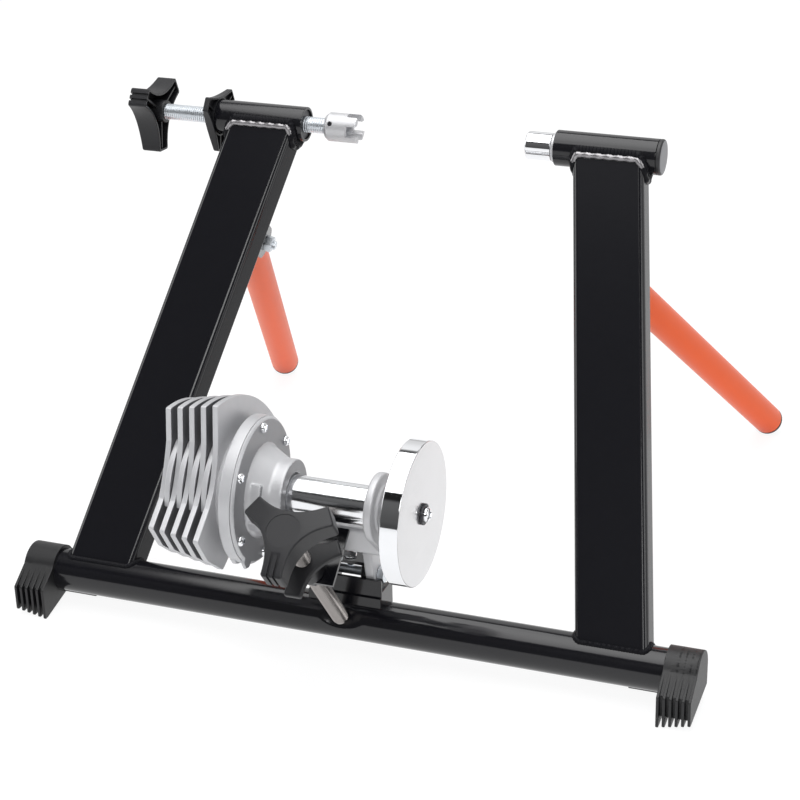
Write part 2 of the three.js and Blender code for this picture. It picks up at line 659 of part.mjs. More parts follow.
// Bracket on the far face of the upright, and the bolt that the leg turns on
function makeLegBracket(side, word, axes, group) {
	const { gap, sheet, earRadius, footWidth, footLength, footCorner, footSheet } = legBracket;
	const place = new THREE.Matrix4().makeBasis(axes.across, axes.out, axes.along).setPosition(axes.base);
	const face = upright.depth / 2 + seat;
	group.updateMatrix();
	const toLeg = group.matrix.clone().invert();
	const inner = leg.radius + gap;
	const reach = legPivot.offset + earRadius;
	const plate = raised(roundedRectangle(footWidth, footLength, footCorner), face, face + footSheet)
		.applyMatrix4(new THREE.Matrix4().makeBasis(
			new THREE.Vector3(1, 0, 0), new THREE.Vector3(0, 0, -1), new THREE.Vector3(0, 1, 0),
		))
		.translate(-side * legPivot.across, 0, legPivot.along)
		.applyMatrix4(place)
		.applyMatrix4(toLeg);
	const toFace = axes.out.clone().negate().transformDirection(toLeg);
	const turn = Math.atan2(toFace.z, toFace.y);
	const ears = [-1, 1].map((end) => {
		const round = raisedAlongX(circleShape(0, 0, earRadius), 0, sheet);
		const neck = solidOf(
			raised(rectangle(0, -earRadius, reach, earRadius), 0, sheet).rotateZ(turn).applyMatrix4(alongX),
		);
		return joined(round, neck).translate([end > 0 ? inner : -inner - sheet, 0, 0]);
	});
	const blank = raised(rectangle(-upright.width, -reach, upright.width, face), 0, axes.length)
		.applyMatrix4(place).applyMatrix4(toLeg);
	const bore = turnedAlongX(
		barOutline(-inner - sheet - overrun, inner + sheet + overrun, leg.boltRadius + seat), coarseRound,
	);
	const body = cut(joined(solidOf(plate), ...ears), solidOf(blank), bore);
	addPiece(`leg_bracket_${word}`, body, blackPaint, group);
	const headFace = inner + sheet + seat;
	const inward = -side;
	const { headWidth, headHeight, nutHeight, boltTail } = legBracket;
	const shank = turnedAlongX(
		barOutline(-headFace, headFace + nutHeight + boltTail, leg.boltRadius), coarseRound,
	);
	const head = raisedAlongX(hexagon(headWidth), -headFace - headHeight, -headFace);
	const nut = cut(
		raisedAlongX(hexagon(headWidth), headFace, headFace + nutHeight),
		turnedAlongX(barOutline(0, headFace + nutHeight + overrun, leg.boltRadius + seat), coarseRound),
	);
	const facing = (solid) => (inward > 0 ? solid : solid.mirror([1, 0, 0]));
	addPiece(`leg_bolt_${word}`, facing(joined(shank, head)), zincPlate, group);
	addPiece(`leg_nut_${word}`, facing(nut), zincPlate, group);
}

// Bracket on the base tube that the resistance unit tilts on, and its hinge bolt
function makeHinge() {
	const group = addGroup(frame, 0, 0, 0);
	const { halfLength, rear, step, front, sheet, baseTop, endTop, rearTop } = bracket;
	const { earInner, earThickness, earRadius, bridgeDepth, bridgeRise } = bracket;
	const bottom = baseTube.axisHeight;
	const bridgeTop = hinge.height + bridgeRise;
	const block = (y0, z0, y1, z1, x0, x1) => raisedAlongX(rectangle(y0, z0, y1, z1), x0, x1);
	const base = block(rear - step, bottom, front - sheet, baseTop, -halfLength, halfLength);
	const rearWall = block(rear, bottom, rear + sheet, rearTop, -halfLength, halfLength);
	const ends = [-halfLength, halfLength - sheet].map(
		(x) => block(rear, bottom, front - sheet, endTop, x, x + sheet),
	);
	const [bridgeRear, bridgeFront] = [hinge.y - bridgeDepth / 2, hinge.y + bridgeDepth / 2];
	const ears = [-earInner - earThickness, earInner].map((x) => joined(
		raisedAlongX(circleShape(hinge.y, hinge.height, earRadius), x, x + earThickness),
		block(hinge.y - earRadius, bottom, hinge.y + earRadius, hinge.height, x, x + earThickness),
		block(bridgeRear, hinge.height, bridgeFront, bridgeTop, x, x + earThickness),
	));
	const bridge = block(
		bridgeRear, bridgeTop - sheet, bridgeFront, bridgeTop, -earInner - earThickness, earInner + earThickness,
	);
	const tubeTool = turnedAlongX(
		barOutline(-halfLength - overrun, halfLength + overrun, baseTube.radius + seat), fineRound,
	).translate([0, 0, baseTube.axisHeight]);
	const atHinge = (start, end, radius) => turnedAlongX(barOutline(start, end, radius), middleRound)
		.translate([0, hinge.y, hinge.height]);
	const lugRoomStart = earInner + earThickness;
	const headRoomRadius = hinge.headWidth / Math.sqrt(3) + running;
	const rooms = [-1, 1].flatMap((side) => [
		[lugRoomStart, yoke.lugOuter + running, yoke.lugRadius + running],
		[yoke.lugOuter, halfLength + overrun, headRoomRadius],
	].map(([from, to, radius]) => (side > 0 ? atHinge(from, to, radius) : atHinge(-to, -from, radius))));
	const boltHole = atHinge(-halfLength, halfLength, hinge.boltRadius + seat);
	const screwHole = turnedSolid(barOutline(
		bridgeTop - sheet - overrun, bridgeTop + overrun, bracketScrew.radius + seat,
	), coarseRound).translate([0, hinge.y, 0]);
	const body = cut(joined(base, rearWall, ...ends, ...ears, bridge), tubeTool, ...rooms, boltHole, screwHole);
	addPiece('hinge_bracket', body, blackPaint, group);

	const bolts = addGroup(frame, 0, hinge.y, hinge.height);
	const lugFace = yoke.lugOuter + seat;
	const shank = turnedAlongX(
		barOutline(-lugFace - hinge.nutHeight - hinge.tail, lugFace, hinge.boltRadius), coarseRound,
	);
	const head = raisedAlongX(hexagon(hinge.headWidth), lugFace, lugFace + hinge.headHeight);
	addPiece('hinge_bolt', joined(shank, head), zincPlate, bolts);
	const nut = cut(
		raisedAlongX(hexagon(hinge.headWidth), -lugFace - hinge.nutHeight, -lugFace),
		turnedAlongX(barOutline(-lugFace - hinge.nutHeight - overrun, 0, hinge.boltRadius + seat), coarseRound),
	);
	addPiece('hinge_nut', nut, zincPlate, bolts);
	const top = bridgeTop + seat;
	const { headRadius, headHeight, radius, length, socketWidth, socketDepth } = bracketScrew;
	const screw = turnedSolid([
		[top - length, 0], [top - length, radius], [top, radius], [top, headRadius],
		[top + headHeight / 2, headRadius], [top + headHeight, headRadius / 2], [top + headHeight, 0],
	], coarseRound);
	const drive = raisedSolid(hexagon(socketWidth), top + headHeight - socketDepth, top + headHeight + overrun);
	addPiece('bracket_screw', cut(screw, drive), polishedSteel, addGroup(frame, 0, hinge.y, 0));
}

// Outline of one cooling fin about the unit's axis, with the cut-away at its rear
function finShape(scale) {
	const shape = new THREE.Shape();
	const at = (radius, angle) => polar(radius * scale, angle);
	const crownRadius = fin.crownRadius * scale;
	const [crownY, crownZ] = [fin.crownCentreY * scale, fin.crownCentreZ * scale];
	const [frontY, frontZ] = polar(crownRadius, fin.crownFront);
	shape.moveTo(crownY + frontY, crownZ + frontZ);
	shape.absarc(crownY, crownZ, crownRadius, fin.crownFront, fin.crownRear);
	shape.lineTo(...at(fin.notchTopRadius, fin.notchTop));
	shape.quadraticCurveTo(
		...polar(housing.drumRadius - seat, (fin.notchTop + fin.notchBottom) / 2),
		...at(fin.notchBottomRadius, fin.notchBottom),
	);
	shape.lineTo(...at(fin.shoulderRadius, fin.shoulder));
	shape.lineTo(...at(fin.skirtRadius, fin.skirt));
	shape.lineTo(...at(fin.soleRadius, fin.sole));
	shape.lineTo(...polar(fin.soleInnerRadius, fin.soleInner));
	shape.lineTo(...at(fin.chinRadius, fin.chin));
	return shape;
}

// A curved bar that stands on the drum in the cut-away
function barShape() {
	const shape = new THREE.Shape();
	const margin = (fin.notchBottom - fin.notchTop) * housing.barMarginShare;
	const inner = housing.drumRadius - overrun;
	shape.moveTo(...polar(inner, fin.notchTop - margin));
	shape.absarc(0, 0, housing.barRadius, fin.notchTop - margin, fin.notchBottom + margin);
	shape.lineTo(...polar(inner, fin.notchBottom + margin));
	return shape;
}

// Finned housing of the resistance unit: drum, fins, staggered bars, flange and fluid chamber
function makeHousing(group) {
	const { finCount, finStart, finPitch, finThickness, finGrowthShare, drumRadius, barThickness } = housing;
	const { flangeStart, flangeEnd, flangeRadius, cavityRadius, cavityStart, noseRadius } = housing;
	let body = turnedAlongX([
		[finStart, 0], [finStart, noseRadius], [finStart + finThickness, drumRadius], [flangeStart, drumRadius],
		[flangeStart, flangeRadius], [flangeEnd - seat, flangeRadius], [flangeEnd - seat, 0],
	], fineRound);
	for (let index = 0; index < finCount; index++) {
		const start = finStart + index * finPitch;
		body = body.add(raisedAlongX(
			finShape(1 + index * finGrowthShare), start, start + finThickness, 0, curveSteps,
		));
		if (index < finCount - 1) {
			const barStart = start + finThickness / 2 + (finPitch - barThickness) / 2;
			body = body.add(raisedAlongX(barShape(), barStart, barStart + barThickness, 0, curveSteps / 2));
		}
	}
	const lugEnd = flangeStart + housing.lugThickness;
	body = body.add(flangeLug(flangeStart, lugEnd, housing.lugReach, housing.lugPoint));
	const cavity = turnedAlongX(barOutline(cavityStart, flangeEnd + overrun, cavityRadius), fineRound);
	addPiece('finned_housing', cut(body, cavity, ...coverScrewHoles()), castAluminium, group);
}

// Pointed alignment lug at the foot of a flange
function flangeLug(start, end, reach, point) {
	const { lugAngle, lugWidth } = housing;
	const [half, root] = [lugWidth / 2, yoke.flangeRadius - overrun];
	const lug = raised(polygon([
		[root, -half], [reach - point, -half], [reach, 0], [reach - point, half], [root, half],
	]), start, end);
	return solidOf(lug.rotateZ(lugAngle).applyMatrix4(alongX));
}

function coverScrewPlaces() {
	return Array.from({ length: coverScrew.count }, (_, index) => {
		const angle = coverScrew.firstAngle + index * 2 * Math.PI / coverScrew.count;
		return polar(coverScrew.ringRadius, angle);
	});
}

function coverScrewHoles() {
	const end = yoke.flangeEnd + overrun;
	const start = yoke.flangeEnd - coverScrew.length - seat;
	const hole = turnedAlongX(barOutline(start, end, coverScrew.radius + seat), coarseRound);
	return coverScrewPlaces().map(([y, z]) => hole.translate([0, y, z]));
}

// Cast yoke: cover of the fluid chamber, bearing boss, beam under the roller, far ear and hinge lugs
function makeYoke(group) {
	const { flangeStart, flangeEnd, flangeRadius, coneRadius, coneEnd, bossRadius, bossEnd } = yoke;
	const shaftHole = shaft.shoulderRadius + running;
	const cover = turnedAlongX([
		[flangeStart, 0], [flangeStart, flangeRadius], [flangeEnd, flangeRadius], [flangeEnd, coneRadius],
		[coneEnd, bossRadius], [bossEnd, bossRadius], [bossEnd, 0],
	], fineRound);
	const toUnit = ([y, z]) => [y - unit.axisY, z - unit.axisHeight];
	const section = polygon([
		[beam.rearY, beam.rearTop], [beam.heelY, beam.heelHeight], [beam.toeY, beam.toeHeight],
		[beam.noseY, beam.noseHeight], [beam.shoulderY, beam.shoulderHeight], [beam.crestY, beam.crestHeight],
	].map(toUnit));
	const beamBody = raisedAlongX(section, flangeEnd - seat, yoke.earEnd);
	const hingePlace = toUnit([hinge.y, hinge.height]);
	const lugs = [-yoke.lugOuter, yoke.lugInner].map((x) => {
		const width = yoke.lugOuter - yoke.lugInner;
		const lugShape = hullOf(circlePoints(hingePlace, yoke.lugRadius), [
			toUnit([beam.toeY, beam.toeHeight]), toUnit([beam.noseY, beam.noseHeight]),
		]);
		return raisedAlongX(lugShape, x, x + width);
	});
	const earShape = hullOf(circlePoints([0, 0], yoke.earRadius), [
		toUnit([beam.rearY, beam.rearTop]), toUnit([beam.heelY, beam.heelHeight]),
		toUnit([beam.toeY, beam.toeHeight]), toUnit([beam.noseY, beam.noseHeight]),
	]);
	const ear = raisedAlongX(earShape, yoke.earStart, yoke.earEnd);
	const hub = turnedAlongX(barOutline(yoke.hubStart, yoke.hubEnd, yoke.hubRadius), fineRound);
	const gusset = solidOf(raised(
		rectangle(0, -yoke.gussetThickness / 2, coneRadius, yoke.gussetThickness / 2), flangeEnd - seat, coneEnd,
	).rotateZ(yoke.gussetAngle).applyMatrix4(alongX));
	const recess = turnedAlongX(barOutline(bossEnd - yoke.recessDepth, bossEnd + overrun, yoke.recessRadius));
	const bore = turnedAlongX(barOutline(flangeStart - overrun, yoke.hubEnd + overrun, shaftHole));
	const leftSeat = turnedAlongX(barOutline(
		flangeStart - overrun, bearing.leftStart + bearing.width + seat, bearing.radius + seat / 2,
	), fineRound);
	const rightSeat = turnedAlongX(barOutline(
		bearing.rightStart - seat, yoke.hubEnd + overrun, bearing.radius + seat / 2,
	), fineRound);
	const hingeHole = turnedAlongX(
		barOutline(-yoke.lugOuter - overrun, yoke.lugOuter + overrun, hinge.boltRadius + seat), coarseRound,
	).translate([0, ...hingePlace]);
	const lug = flangeLug(flangeStart, flangeEnd, yoke.coverLugReach, yoke.coverLugPoint);
	const body = joined(cover, beamBody, ...lugs, ear, hub, gusset, lug);
	addPiece('yoke_casting', cut(
		body, recess, bore, leftSeat, rightSeat, hingeHole, armScrewTool(seat), ...coverScrewHoles(),
	), castAluminium, group);
	const head = turnedAlongX([
		[flangeEnd - coverScrew.length, 0], [flangeEnd - coverScrew.length, coverScrew.radius],
		[flangeEnd + seat, coverScrew.radius], [flangeEnd + seat, coverScrew.headRadius],
		[flangeEnd + coverScrew.headHeight, coverScrew.headRadius], [flangeEnd + coverScrew.headHeight, 0],
	], coarseRound);
	const socket = raisedAlongX(
		hexagon(coverScrew.socketWidth), flangeEnd + coverScrew.headHeight - coverScrew.socketDepth,
		flangeEnd + coverScrew.headHeight + overrun,
	);
	const screw = cut(head, socket);
	coverScrewPlaces().forEach(([y, z], index) => {
		addPiece(`cover_screw_${index + 1}`, screw, polishedSteel, addGroup(group, 0, y, z));
	});
}

function circlePoints([x, y], radius) {
	return Array.from({ length: middleRound }, (_, index) => {
		const [dx, dy] = polar(radius, index * 2 * Math.PI / middleRound);
		return [x + dx, y + dy];
	});
}

// Outline drawn tight round a set of points
function hullOf(...sets) {
	const points = sets.flat().sort((p, q) => p[0] - q[0] || p[1] - q[1]);
	const turn = (o, p, q) => (p[0] - o[0]) * (q[1] - o[1]) - (p[1] - o[1]) * (q[0] - o[0]);
	const chain = (list) => {
		const kept = [];
		for (const point of list) {
			while (kept.length > 1 && turn(kept[kept.length - 2], kept[kept.length - 1], point) <= 0) kept.pop();
			kept.push(point);
		}
		return kept.slice(0, -1);
	};
	return polygon([...chain(points), ...chain([...points].reverse())]);
}

// Bearings and seal, which stay with the unit
function makeBearings(group) {
	const { radius, width, raceStep, raceWidth, leftStart, rightStart } = bearing;
	for (const [name, start] of Object.entries({ bearing_left: leftStart, bearing_right: rightStart })) {
		const inner = shaft.radius + seat;
		const end = start + width;
		addPiece(name, turnedAlongX([
			[start, inner], [start, inner + raceWidth], [start + raceStep, inner + raceWidth],
			[start + raceStep, radius - raceWidth], [start, radius - raceWidth], [start, radius],
			[end, radius], [end, radius - raceWidth], [end - raceStep, radius - raceWidth],
			[end - raceStep, inner + raceWidth], [end, inner + raceWidth], [end, inner], [start, inner],
		], coarseRound), satinSteel, group);
	}
	const outline = ringOutline(seal.start, seal.start + seal.width, bearing.radius, shaft.radius + seat);
	addPiece('shaft_seal', turnedAlongX(outline, coarseRound), darkRubber, group);
}

// What turns: shaft, impeller, roller, spacer, flywheel, washer and screw
function makeRotor(group) {
	const rollerSeat = shaft.shoulderRadius;
	const { start, end, radius, shoulderRadius } = shaft;
	const threadRadius = flywheelScrew.radius + seat;
	const threadStart = flywheel.end + flywheelWasher.thickness - flywheelScrew.length;
	addPiece('roller_shaft', turnedAlongX([
		[start, 0], [start, radius], [roller.start, radius], [roller.start, shoulderRadius],
		[roller.end, shoulderRadius], [roller.end, radius], [end, radius], [end, threadRadius],
		[threadStart, threadRadius], [threadStart, 0],
	]), satinSteel, group);
	const sleeve = turnedAlongX([
		[roller.start, rollerSeat + seat], [roller.start, roller.radius - roller.chamfer],
		[roller.start + roller.chamfer, roller.radius], [roller.end - roller.chamfer, roller.radius],
		[roller.end, roller.radius - roller.chamfer], [roller.end, rollerSeat + seat],
		[roller.start, rollerSeat + seat],
	], fineRound);
	addPiece('roller', sleeve, polishedSteel, group);
	const { discThickness, hubRadius, hubEnd, bladeCount, bladeThickness, bladeWidth } = impeller;
	const bore = shaft.radius + seat;
	const discEnd = impeller.start + discThickness;
	let wheel = joined(
		turnedAlongX(ringOutline(impeller.start, discEnd, impeller.radius, bore)),
		turnedAlongX(ringOutline(impeller.start, hubEnd, hubRadius, bore)),
	);
	for (let blade = 0; blade < bladeCount; blade++) {
		const angle = blade * 2 * Math.PI / bladeCount;
		const vane = raised(
			rectangle(hubRadius - bladeThickness / 2, -bladeThickness / 2, impeller.radius, bladeThickness / 2),
			impeller.start + discThickness / 2, impeller.start + bladeWidth,
		);
		wheel = wheel.add(solidOf(vane.rotateZ(angle).applyMatrix4(alongX)));
	}
	addPiece('impeller', wheel, castAluminium, group);
	const spacerStart = bearing.rightStart + bearing.width + seat;
	addPiece('flywheel_spacer', turnedAlongX(
		ringOutline(spacerStart, flywheel.start - seat, spacer.radius, bore), coarseRound,
	), satinSteel, group);
	addPiece('flywheel', turnedAlongX([
		[flywheel.start, bore], [flywheel.start, flywheel.radius - flywheel.chamfer],
		[flywheel.start + flywheel.chamfer, flywheel.radius], [flywheel.end - flywheel.chamfer, flywheel.radius],
		[flywheel.end, flywheel.radius - flywheel.chamfer], [flywheel.end, bore], [flywheel.start, bore],
	], wheelRound), polishedSteel, group);
	const washerEnd = flywheel.end + seat + flywheelWasher.thickness;
	addPiece('flywheel_washer', turnedAlongX(
		ringOutline(flywheel.end + seat, washerEnd, flywheelWasher.radius, bore), coarseRound,
	), darkSteel, group);
	const { headRadius, headHeight, domeRadius, length, socketWidth, socketDepth } = flywheelScrew;
	const headStart = washerEnd + seat;
	const headEnd = headStart + headHeight;
	const screw = turnedAlongX([
		[headStart - length, 0], [headStart - length, flywheelScrew.radius], [headStart, flywheelScrew.radius],
		[headStart, headRadius], [headStart + headHeight / 2, headRadius], [headEnd, domeRadius], [headEnd, 0],
	]);
	const socket = raisedAlongX(hexagon(socketWidth), headEnd - socketDepth, headEnd + overrun);
	addPiece('flywheel_screw', cut(screw, socket), polishedSteel, group);
}

// A place in the frame from the height along the tension bolt and the distance in front of it
function besideBolt(height, forward) {
	const [lean, rise] = [Math.sin(tension.lean), Math.cos(tension.lean)];
	return [
		tension.tipY - lean * height + rise * forward,
		tension.tipHeight + rise * height + lean * forward,
	];
}

// Screw that holds the arm under the beam, grown by a clearance where it is used as a cutting tool
function armScrewTool(clearance) {
	const heel = new THREE.Vector2(beam.heelY, beam.heelHeight);
	const toe = new THREE.Vector2(beam.toeY, beam.toeHeight);
	const slope = toe.clone().sub(heel).normalize();
	const place = heel.clone().lerp(toe, armScrew.share);
	const start = -armPlate.rootSheet - 2 * seat - armScrew.headHeight / 2;
	const shank = new THREE.CylinderGeometry(
		armScrew.radius + clearance, armScrew.radius + clearance, armScrew.length + clearance - start, coarseRound,
	).translate(0, (armScrew.length + clearance + start) / 2, 0);
	const turned = shank.rotateX(Math.atan2(slope.y, slope.x) + Math.PI / 2);
	return solidOf(turned.translate(0, place.x - unit.axisY, place.y - unit.axisHeight));
}

// Steel arm under the beam: its root is screwed to the casting and its plate carries the bolt
function makeArm(group) {
	const { bottom, thickness, halfWidth, rear, front, rootHalfWidth, rootSheet } = armPlate;
	const toUnit = ([y, z]) => [y - unit.axisY, z - unit.axisHeight];
	const top = bottom + thickness;
	const plate = raisedAlongX(polygon([
		besideBolt(bottom, rear), besideBolt(bottom, front), besideBolt(top, front), besideBolt(top, rear),
	].map(toUnit)), -halfWidth, halfWidth);
	const heel = new THREE.Vector2(beam.heelY, beam.heelHeight);
	const toe = new THREE.Vector2(beam.toeY, beam.toeHeight);
	const slope = toe.clone().sub(heel).normalize();
	const under = new THREE.Vector2(slope.y, -slope.x);
	const at = (point, drop, shift = 0) => {
		return point.clone().addScaledVector(under, drop).addScaledVector(slope, shift).toArray();
	};
	const root = raisedAlongX(polygon([
		at(heel, seat, -rootSheet), at(heel, seat + rootSheet, -rootSheet),
		at(toe, seat + rootSheet), at(toe, seat),
	].map(toUnit)), -rootHalfWidth, rootHalfWidth);
	const bend = raisedAlongX(polygon([
		besideBolt(bottom, front - rootSheet - thickness), at(heel, seat + rootSheet, -rootSheet),
		at(heel, seat, rootSheet), [beam.rearY, beam.rearTop], besideBolt(top, front),
	].map(toUnit)), -rootHalfWidth, rootHalfWidth);
	const lean = new THREE.Matrix4().makeRotationX(tension.lean);
	const [tipY, tipZ] = toUnit([tension.tipY, tension.tipHeight]);
	const boltHole = solidOf(
		geometryOf(turnedSolid(barOutline(0, top + overrun, tension.radius + seat))).applyMatrix4(lean),
	).translate([0, tipY, tipZ]);
	const beamTool = raisedAlongX(polygon([
		at(heel, seat, 0), at(toe, seat, overrun), [beam.crestY, beam.crestHeight],
		[beam.rearY - seat, beam.rearTop], [beam.heelY - seat, beam.heelHeight],
	].map(toUnit)), -halfWidth - overrun, halfWidth + overrun);
	const body = cut(joined(plate, root, bend), boltHole, beamTool, armScrewTool(seat));
	addPiece('tension_arm', body, blackPaint, group);
	const screwPlace = heel.clone().lerp(toe, armScrew.share);
	const head = solidOf(
		raised(hexagon(armScrew.headWidth), -armScrew.headHeight, 0).rotateX(-Math.PI / 2)
			.translate(0, -rootSheet - 2 * seat, 0).rotateX(Math.atan2(slope.y, slope.x) + Math.PI / 2)
			.translate(0, screwPlace.x - unit.axisY, screwPlace.y - unit.axisHeight),
	);
	addPiece('arm_screw', joined(armScrewTool(0), head), zincPlate, group);
}

// Tension bolt with the nut under the arm, the lobed lock and the large knob
function makeTension() {
	const group = addGroup(frame, 0, tension.tipY, tension.tipHeight);
	group.rotation.x = tension.lean;
	const { radius, tipRadius, tipBevel } = tension;
	const knobTop = tensionKnob.bottom + knob.length;
	const boltEnd = tensionKnob.bottom + knob.length / 2;
	const roundTo = (reach) => tipRadius - Math.sqrt(tipRadius ** 2 - reach ** 2);
	const shoulder = roundTo(radius - tipBevel);
	addPiece('tension_bolt', turnedSolid([
		[0, 0], [roundTo(radius / 2), radius / 2], [shoulder, radius - tipBevel], [shoulder + tipBevel, radius],
		[boltEnd, radius], [boltEnd, 0],
	]), zincPlate, group);
	const nutTop = armPlate.bottom - seat;
	addPiece('arm_nut', cut(
		raisedSolid(hexagon(armNut.width), nutTop - armNut.height, nutTop),
		turnedSolid(barOutline(nutTop - armNut.height - overrun, nutTop + overrun, radius + seat)),
	), darkSteel, group);
	const { hubBottom, bottom, length, hubRadius, bevel } = tensionLock;
	const lock = cut(
		joined(
			raisedSolid(
				lobedShape({ ...tensionLock, turn: tensionKnob.turn }), bottom, bottom + length, bevel, curveSteps,
			),
			turnedSolid(barOutline(hubBottom, bottom + bevel, hubRadius)),
		),
		turnedSolid(barOutline(hubBottom - overrun, bottom + length + overrun, radius + seat)),
	);
	addPiece('tension_lock_nut', lock, charcoalPlastic, group);
	const piece = { ...knob, ...tensionKnob };
	const body = cut(
		makeLobed(piece),
		...lobeGrooves(piece),
		turnedSolid(barOutline(-overrun, boltEnd - tensionKnob.bottom + seat, radius + seat)),
		turnedSolid(barOutline(knob.length - tensionKnob.discDepth, knob.length + overrun, tensionKnob.discRadius)),
	);
	addPiece('tension_knob', body.translate([0, 0, tensionKnob.bottom]), charcoalPlastic, group);
}

makeBaseTube();
makeFoot('foot_left', -1);
makeFoot('foot_right', 1);
makeUpright('upright_left', -1);
makeUpright('upright_right', 1);
makeLeftClamp();
makeRightClamp();
makeLeg(-1, 'left');
makeLeg(1, 'right');
makeHinge();
const unitGroup = addGroup(frame, 0, unit.axisY, unit.axisHeight);
makeHousing(unitGroup);
makeYoke(unitGroup);
makeBearings(unitGroup);
makeRotor(unitGroup);
makeArm(unitGroup);
makeTension();

export default trainer;
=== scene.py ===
import math

import bmesh
import bpy
from mathutils import Matrix, Vector
from mathutils.geometry import convex_hull_2d


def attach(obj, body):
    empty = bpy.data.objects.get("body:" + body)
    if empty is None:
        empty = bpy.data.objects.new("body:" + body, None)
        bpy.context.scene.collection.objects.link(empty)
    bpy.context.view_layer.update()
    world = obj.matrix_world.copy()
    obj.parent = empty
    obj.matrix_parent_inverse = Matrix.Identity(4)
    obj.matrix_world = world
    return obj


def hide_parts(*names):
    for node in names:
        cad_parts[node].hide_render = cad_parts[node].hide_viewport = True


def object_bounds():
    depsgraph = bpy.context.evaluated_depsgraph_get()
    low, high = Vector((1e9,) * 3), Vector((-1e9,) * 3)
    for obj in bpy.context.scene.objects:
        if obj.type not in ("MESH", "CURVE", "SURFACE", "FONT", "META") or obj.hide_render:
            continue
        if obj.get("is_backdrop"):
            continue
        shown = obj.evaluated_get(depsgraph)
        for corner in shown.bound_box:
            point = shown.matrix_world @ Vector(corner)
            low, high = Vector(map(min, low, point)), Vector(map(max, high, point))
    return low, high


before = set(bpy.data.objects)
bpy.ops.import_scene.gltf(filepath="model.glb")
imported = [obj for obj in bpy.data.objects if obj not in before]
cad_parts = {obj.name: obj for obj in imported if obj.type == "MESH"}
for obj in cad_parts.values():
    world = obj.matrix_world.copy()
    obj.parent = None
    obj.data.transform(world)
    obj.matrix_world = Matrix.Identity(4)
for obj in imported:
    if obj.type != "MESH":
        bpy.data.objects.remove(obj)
cad_low, cad_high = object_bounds()

# Studio: a pale floor under the trainer, soft lamps overhead and at the sides, and the camera
# at the height of a standing person, a little to the right of the wheel.
CAMERA_TURN = math.radians(20.443)
CAMERA_RISE = math.radians(24.815)
CAMERA_ROLL = math.radians(-1.251)
CAMERA_DISTANCE = 1.7223
CAMERA_TARGET = Vector((0.0473, -0.1895, 0.2359))
back = Vector((
    math.sin(CAMERA_TURN) * math.cos(CAMERA_RISE),
    -math.cos(CAMERA_TURN) * math.cos(CAMERA_RISE),
    math.sin(CAMERA_RISE),
))
level = Vector((math.cos(CAMERA_TURN), math.sin(CAMERA_TURN), 0))
upward = back.cross(level)
tilted = level * math.cos(CAMERA_ROLL) + upward * math.sin(CAMERA_ROLL)
raised_up = upward * math.cos(CAMERA_ROLL) - level * math.sin(CAMERA_ROLL)
camera_data = bpy.data.cameras.new("studio_camera")
camera_data.lens = 98.5
camera_data.sensor_width = 36
camera = bpy.data.objects.new("studio_camera", camera_data)
turn = Matrix((tilted, raised_up, back)).transposed().to_4x4()
camera.matrix_world = Matrix.Translation(CAMERA_TARGET + back * CAMERA_DISTANCE) @ turn
bpy.context.scene.collection.objects.link(camera)
bpy.context.scene.camera = camera
bpy.context.scene.view_settings.view_transform = "Standard"


def soft_lamp(name, place, aim, size, power):
    """A rectangular lamp that points at a place of the trainer."""
    data = bpy.data.lights.new(name, "AREA")
    data.shape = "RECTANGLE"
    data.size, data.size_y = size
    data.energy = power
    lamp = bpy.data.objects.new(name, data)
    lamp.location = place
    lamp.rotation_euler = (Vector(aim) - Vector(place)).to_track_quat("-Z", "Y").to_euler()
    bpy.context.scene.collection.objects.link(lamp)


soft_lamp("overhead_lamp", (-0.2, -0.1, 2.4), (-0.1, -0.1, 0.1), (3.4, 1.9), 54)
soft_lamp("left_lamp", (-2.3, -0.7, 1.2), (0, -0.1, 0.2), (1.2, 1.5), 9)
soft_lamp("right_lamp", (2.3, -0.6, 1.2), (0, -0.1, 0.2), (0.8, 1.6), 7)
soft_lamp("front_lamp", (0.7, -2.6, 2.0), (0, -0.1, 0.2), (1.4, 1.0), 21)


def add_node(tree, kind, values=None, feeds=None, **settings):
    """A new node with its settings, its values and the sockets that feed it."""
    made = tree.nodes.new(kind)
    for name, value in settings.items():
        setattr(made, name, value)
    for name, value in (values or {}).items():
        made.inputs[name].default_value = value
    for name, source in (feeds or {}).items():
        tree.links.new(source, made.inputs[name])
    return made


# The world lights the trainer evenly. Gloss sees a front wall of soft bright bands instead, and the
# camera sees a plain backdrop.
MIRRORED_BANDS = ((0.18, 0.75), (0.60, 1.0), (0.67, 0.12), (0.88, 0.12), (0.94, 0.6))
world = bpy.data.worlds.new("studio_world")
bpy.context.scene.world = world
world.use_nodes = True
tree = world.node_tree
tree.nodes.clear()
path = add_node(tree, "ShaderNodeLightPath")
room = add_node(tree, "ShaderNodeBackground", {"Color": (0.9, 0.93, 1.0, 1), "Strength": 0.34})
backdrop = add_node(tree, "ShaderNodeBackground", {"Strength": 1.0})
direction = add_node(tree, "ShaderNodeTexCoord")
split = add_node(tree, "ShaderNodeSeparateXYZ", feeds={0: direction.outputs["Generated"]})
front = add_node(
    tree, "ShaderNodeMapRange",
    {"From Min": -0.44, "From Max": -0.36, "To Min": 0.12, "To Max": 1.0},
    {"Value": split.outputs["Y"]}, interpolation_type="SMOOTHSTEP",
)
bands = add_node(tree, "ShaderNodeValToRGB", feeds={"Fac": split.outputs["Z"]})
ramp = bands.color_ramp
ramp.interpolation = "EASE"
ramp.elements[0].position, ramp.elements[0].color = 0.0, (0.5, 0.5, 0.5, 1)
ramp.elements[1].position, ramp.elements[1].color = 1.0, (1, 1, 1, 1)
for position, shade in MIRRORED_BANDS:
    ramp.elements.new(position).color = (shade, shade, shade, 1)
wall = add_node(
    tree, "ShaderNodeMix", feeds={6: bands.outputs["Color"], 7: front.outputs["Result"]},
    data_type="RGBA", blend_type="MULTIPLY",
)
wall.inputs[0].default_value = 1
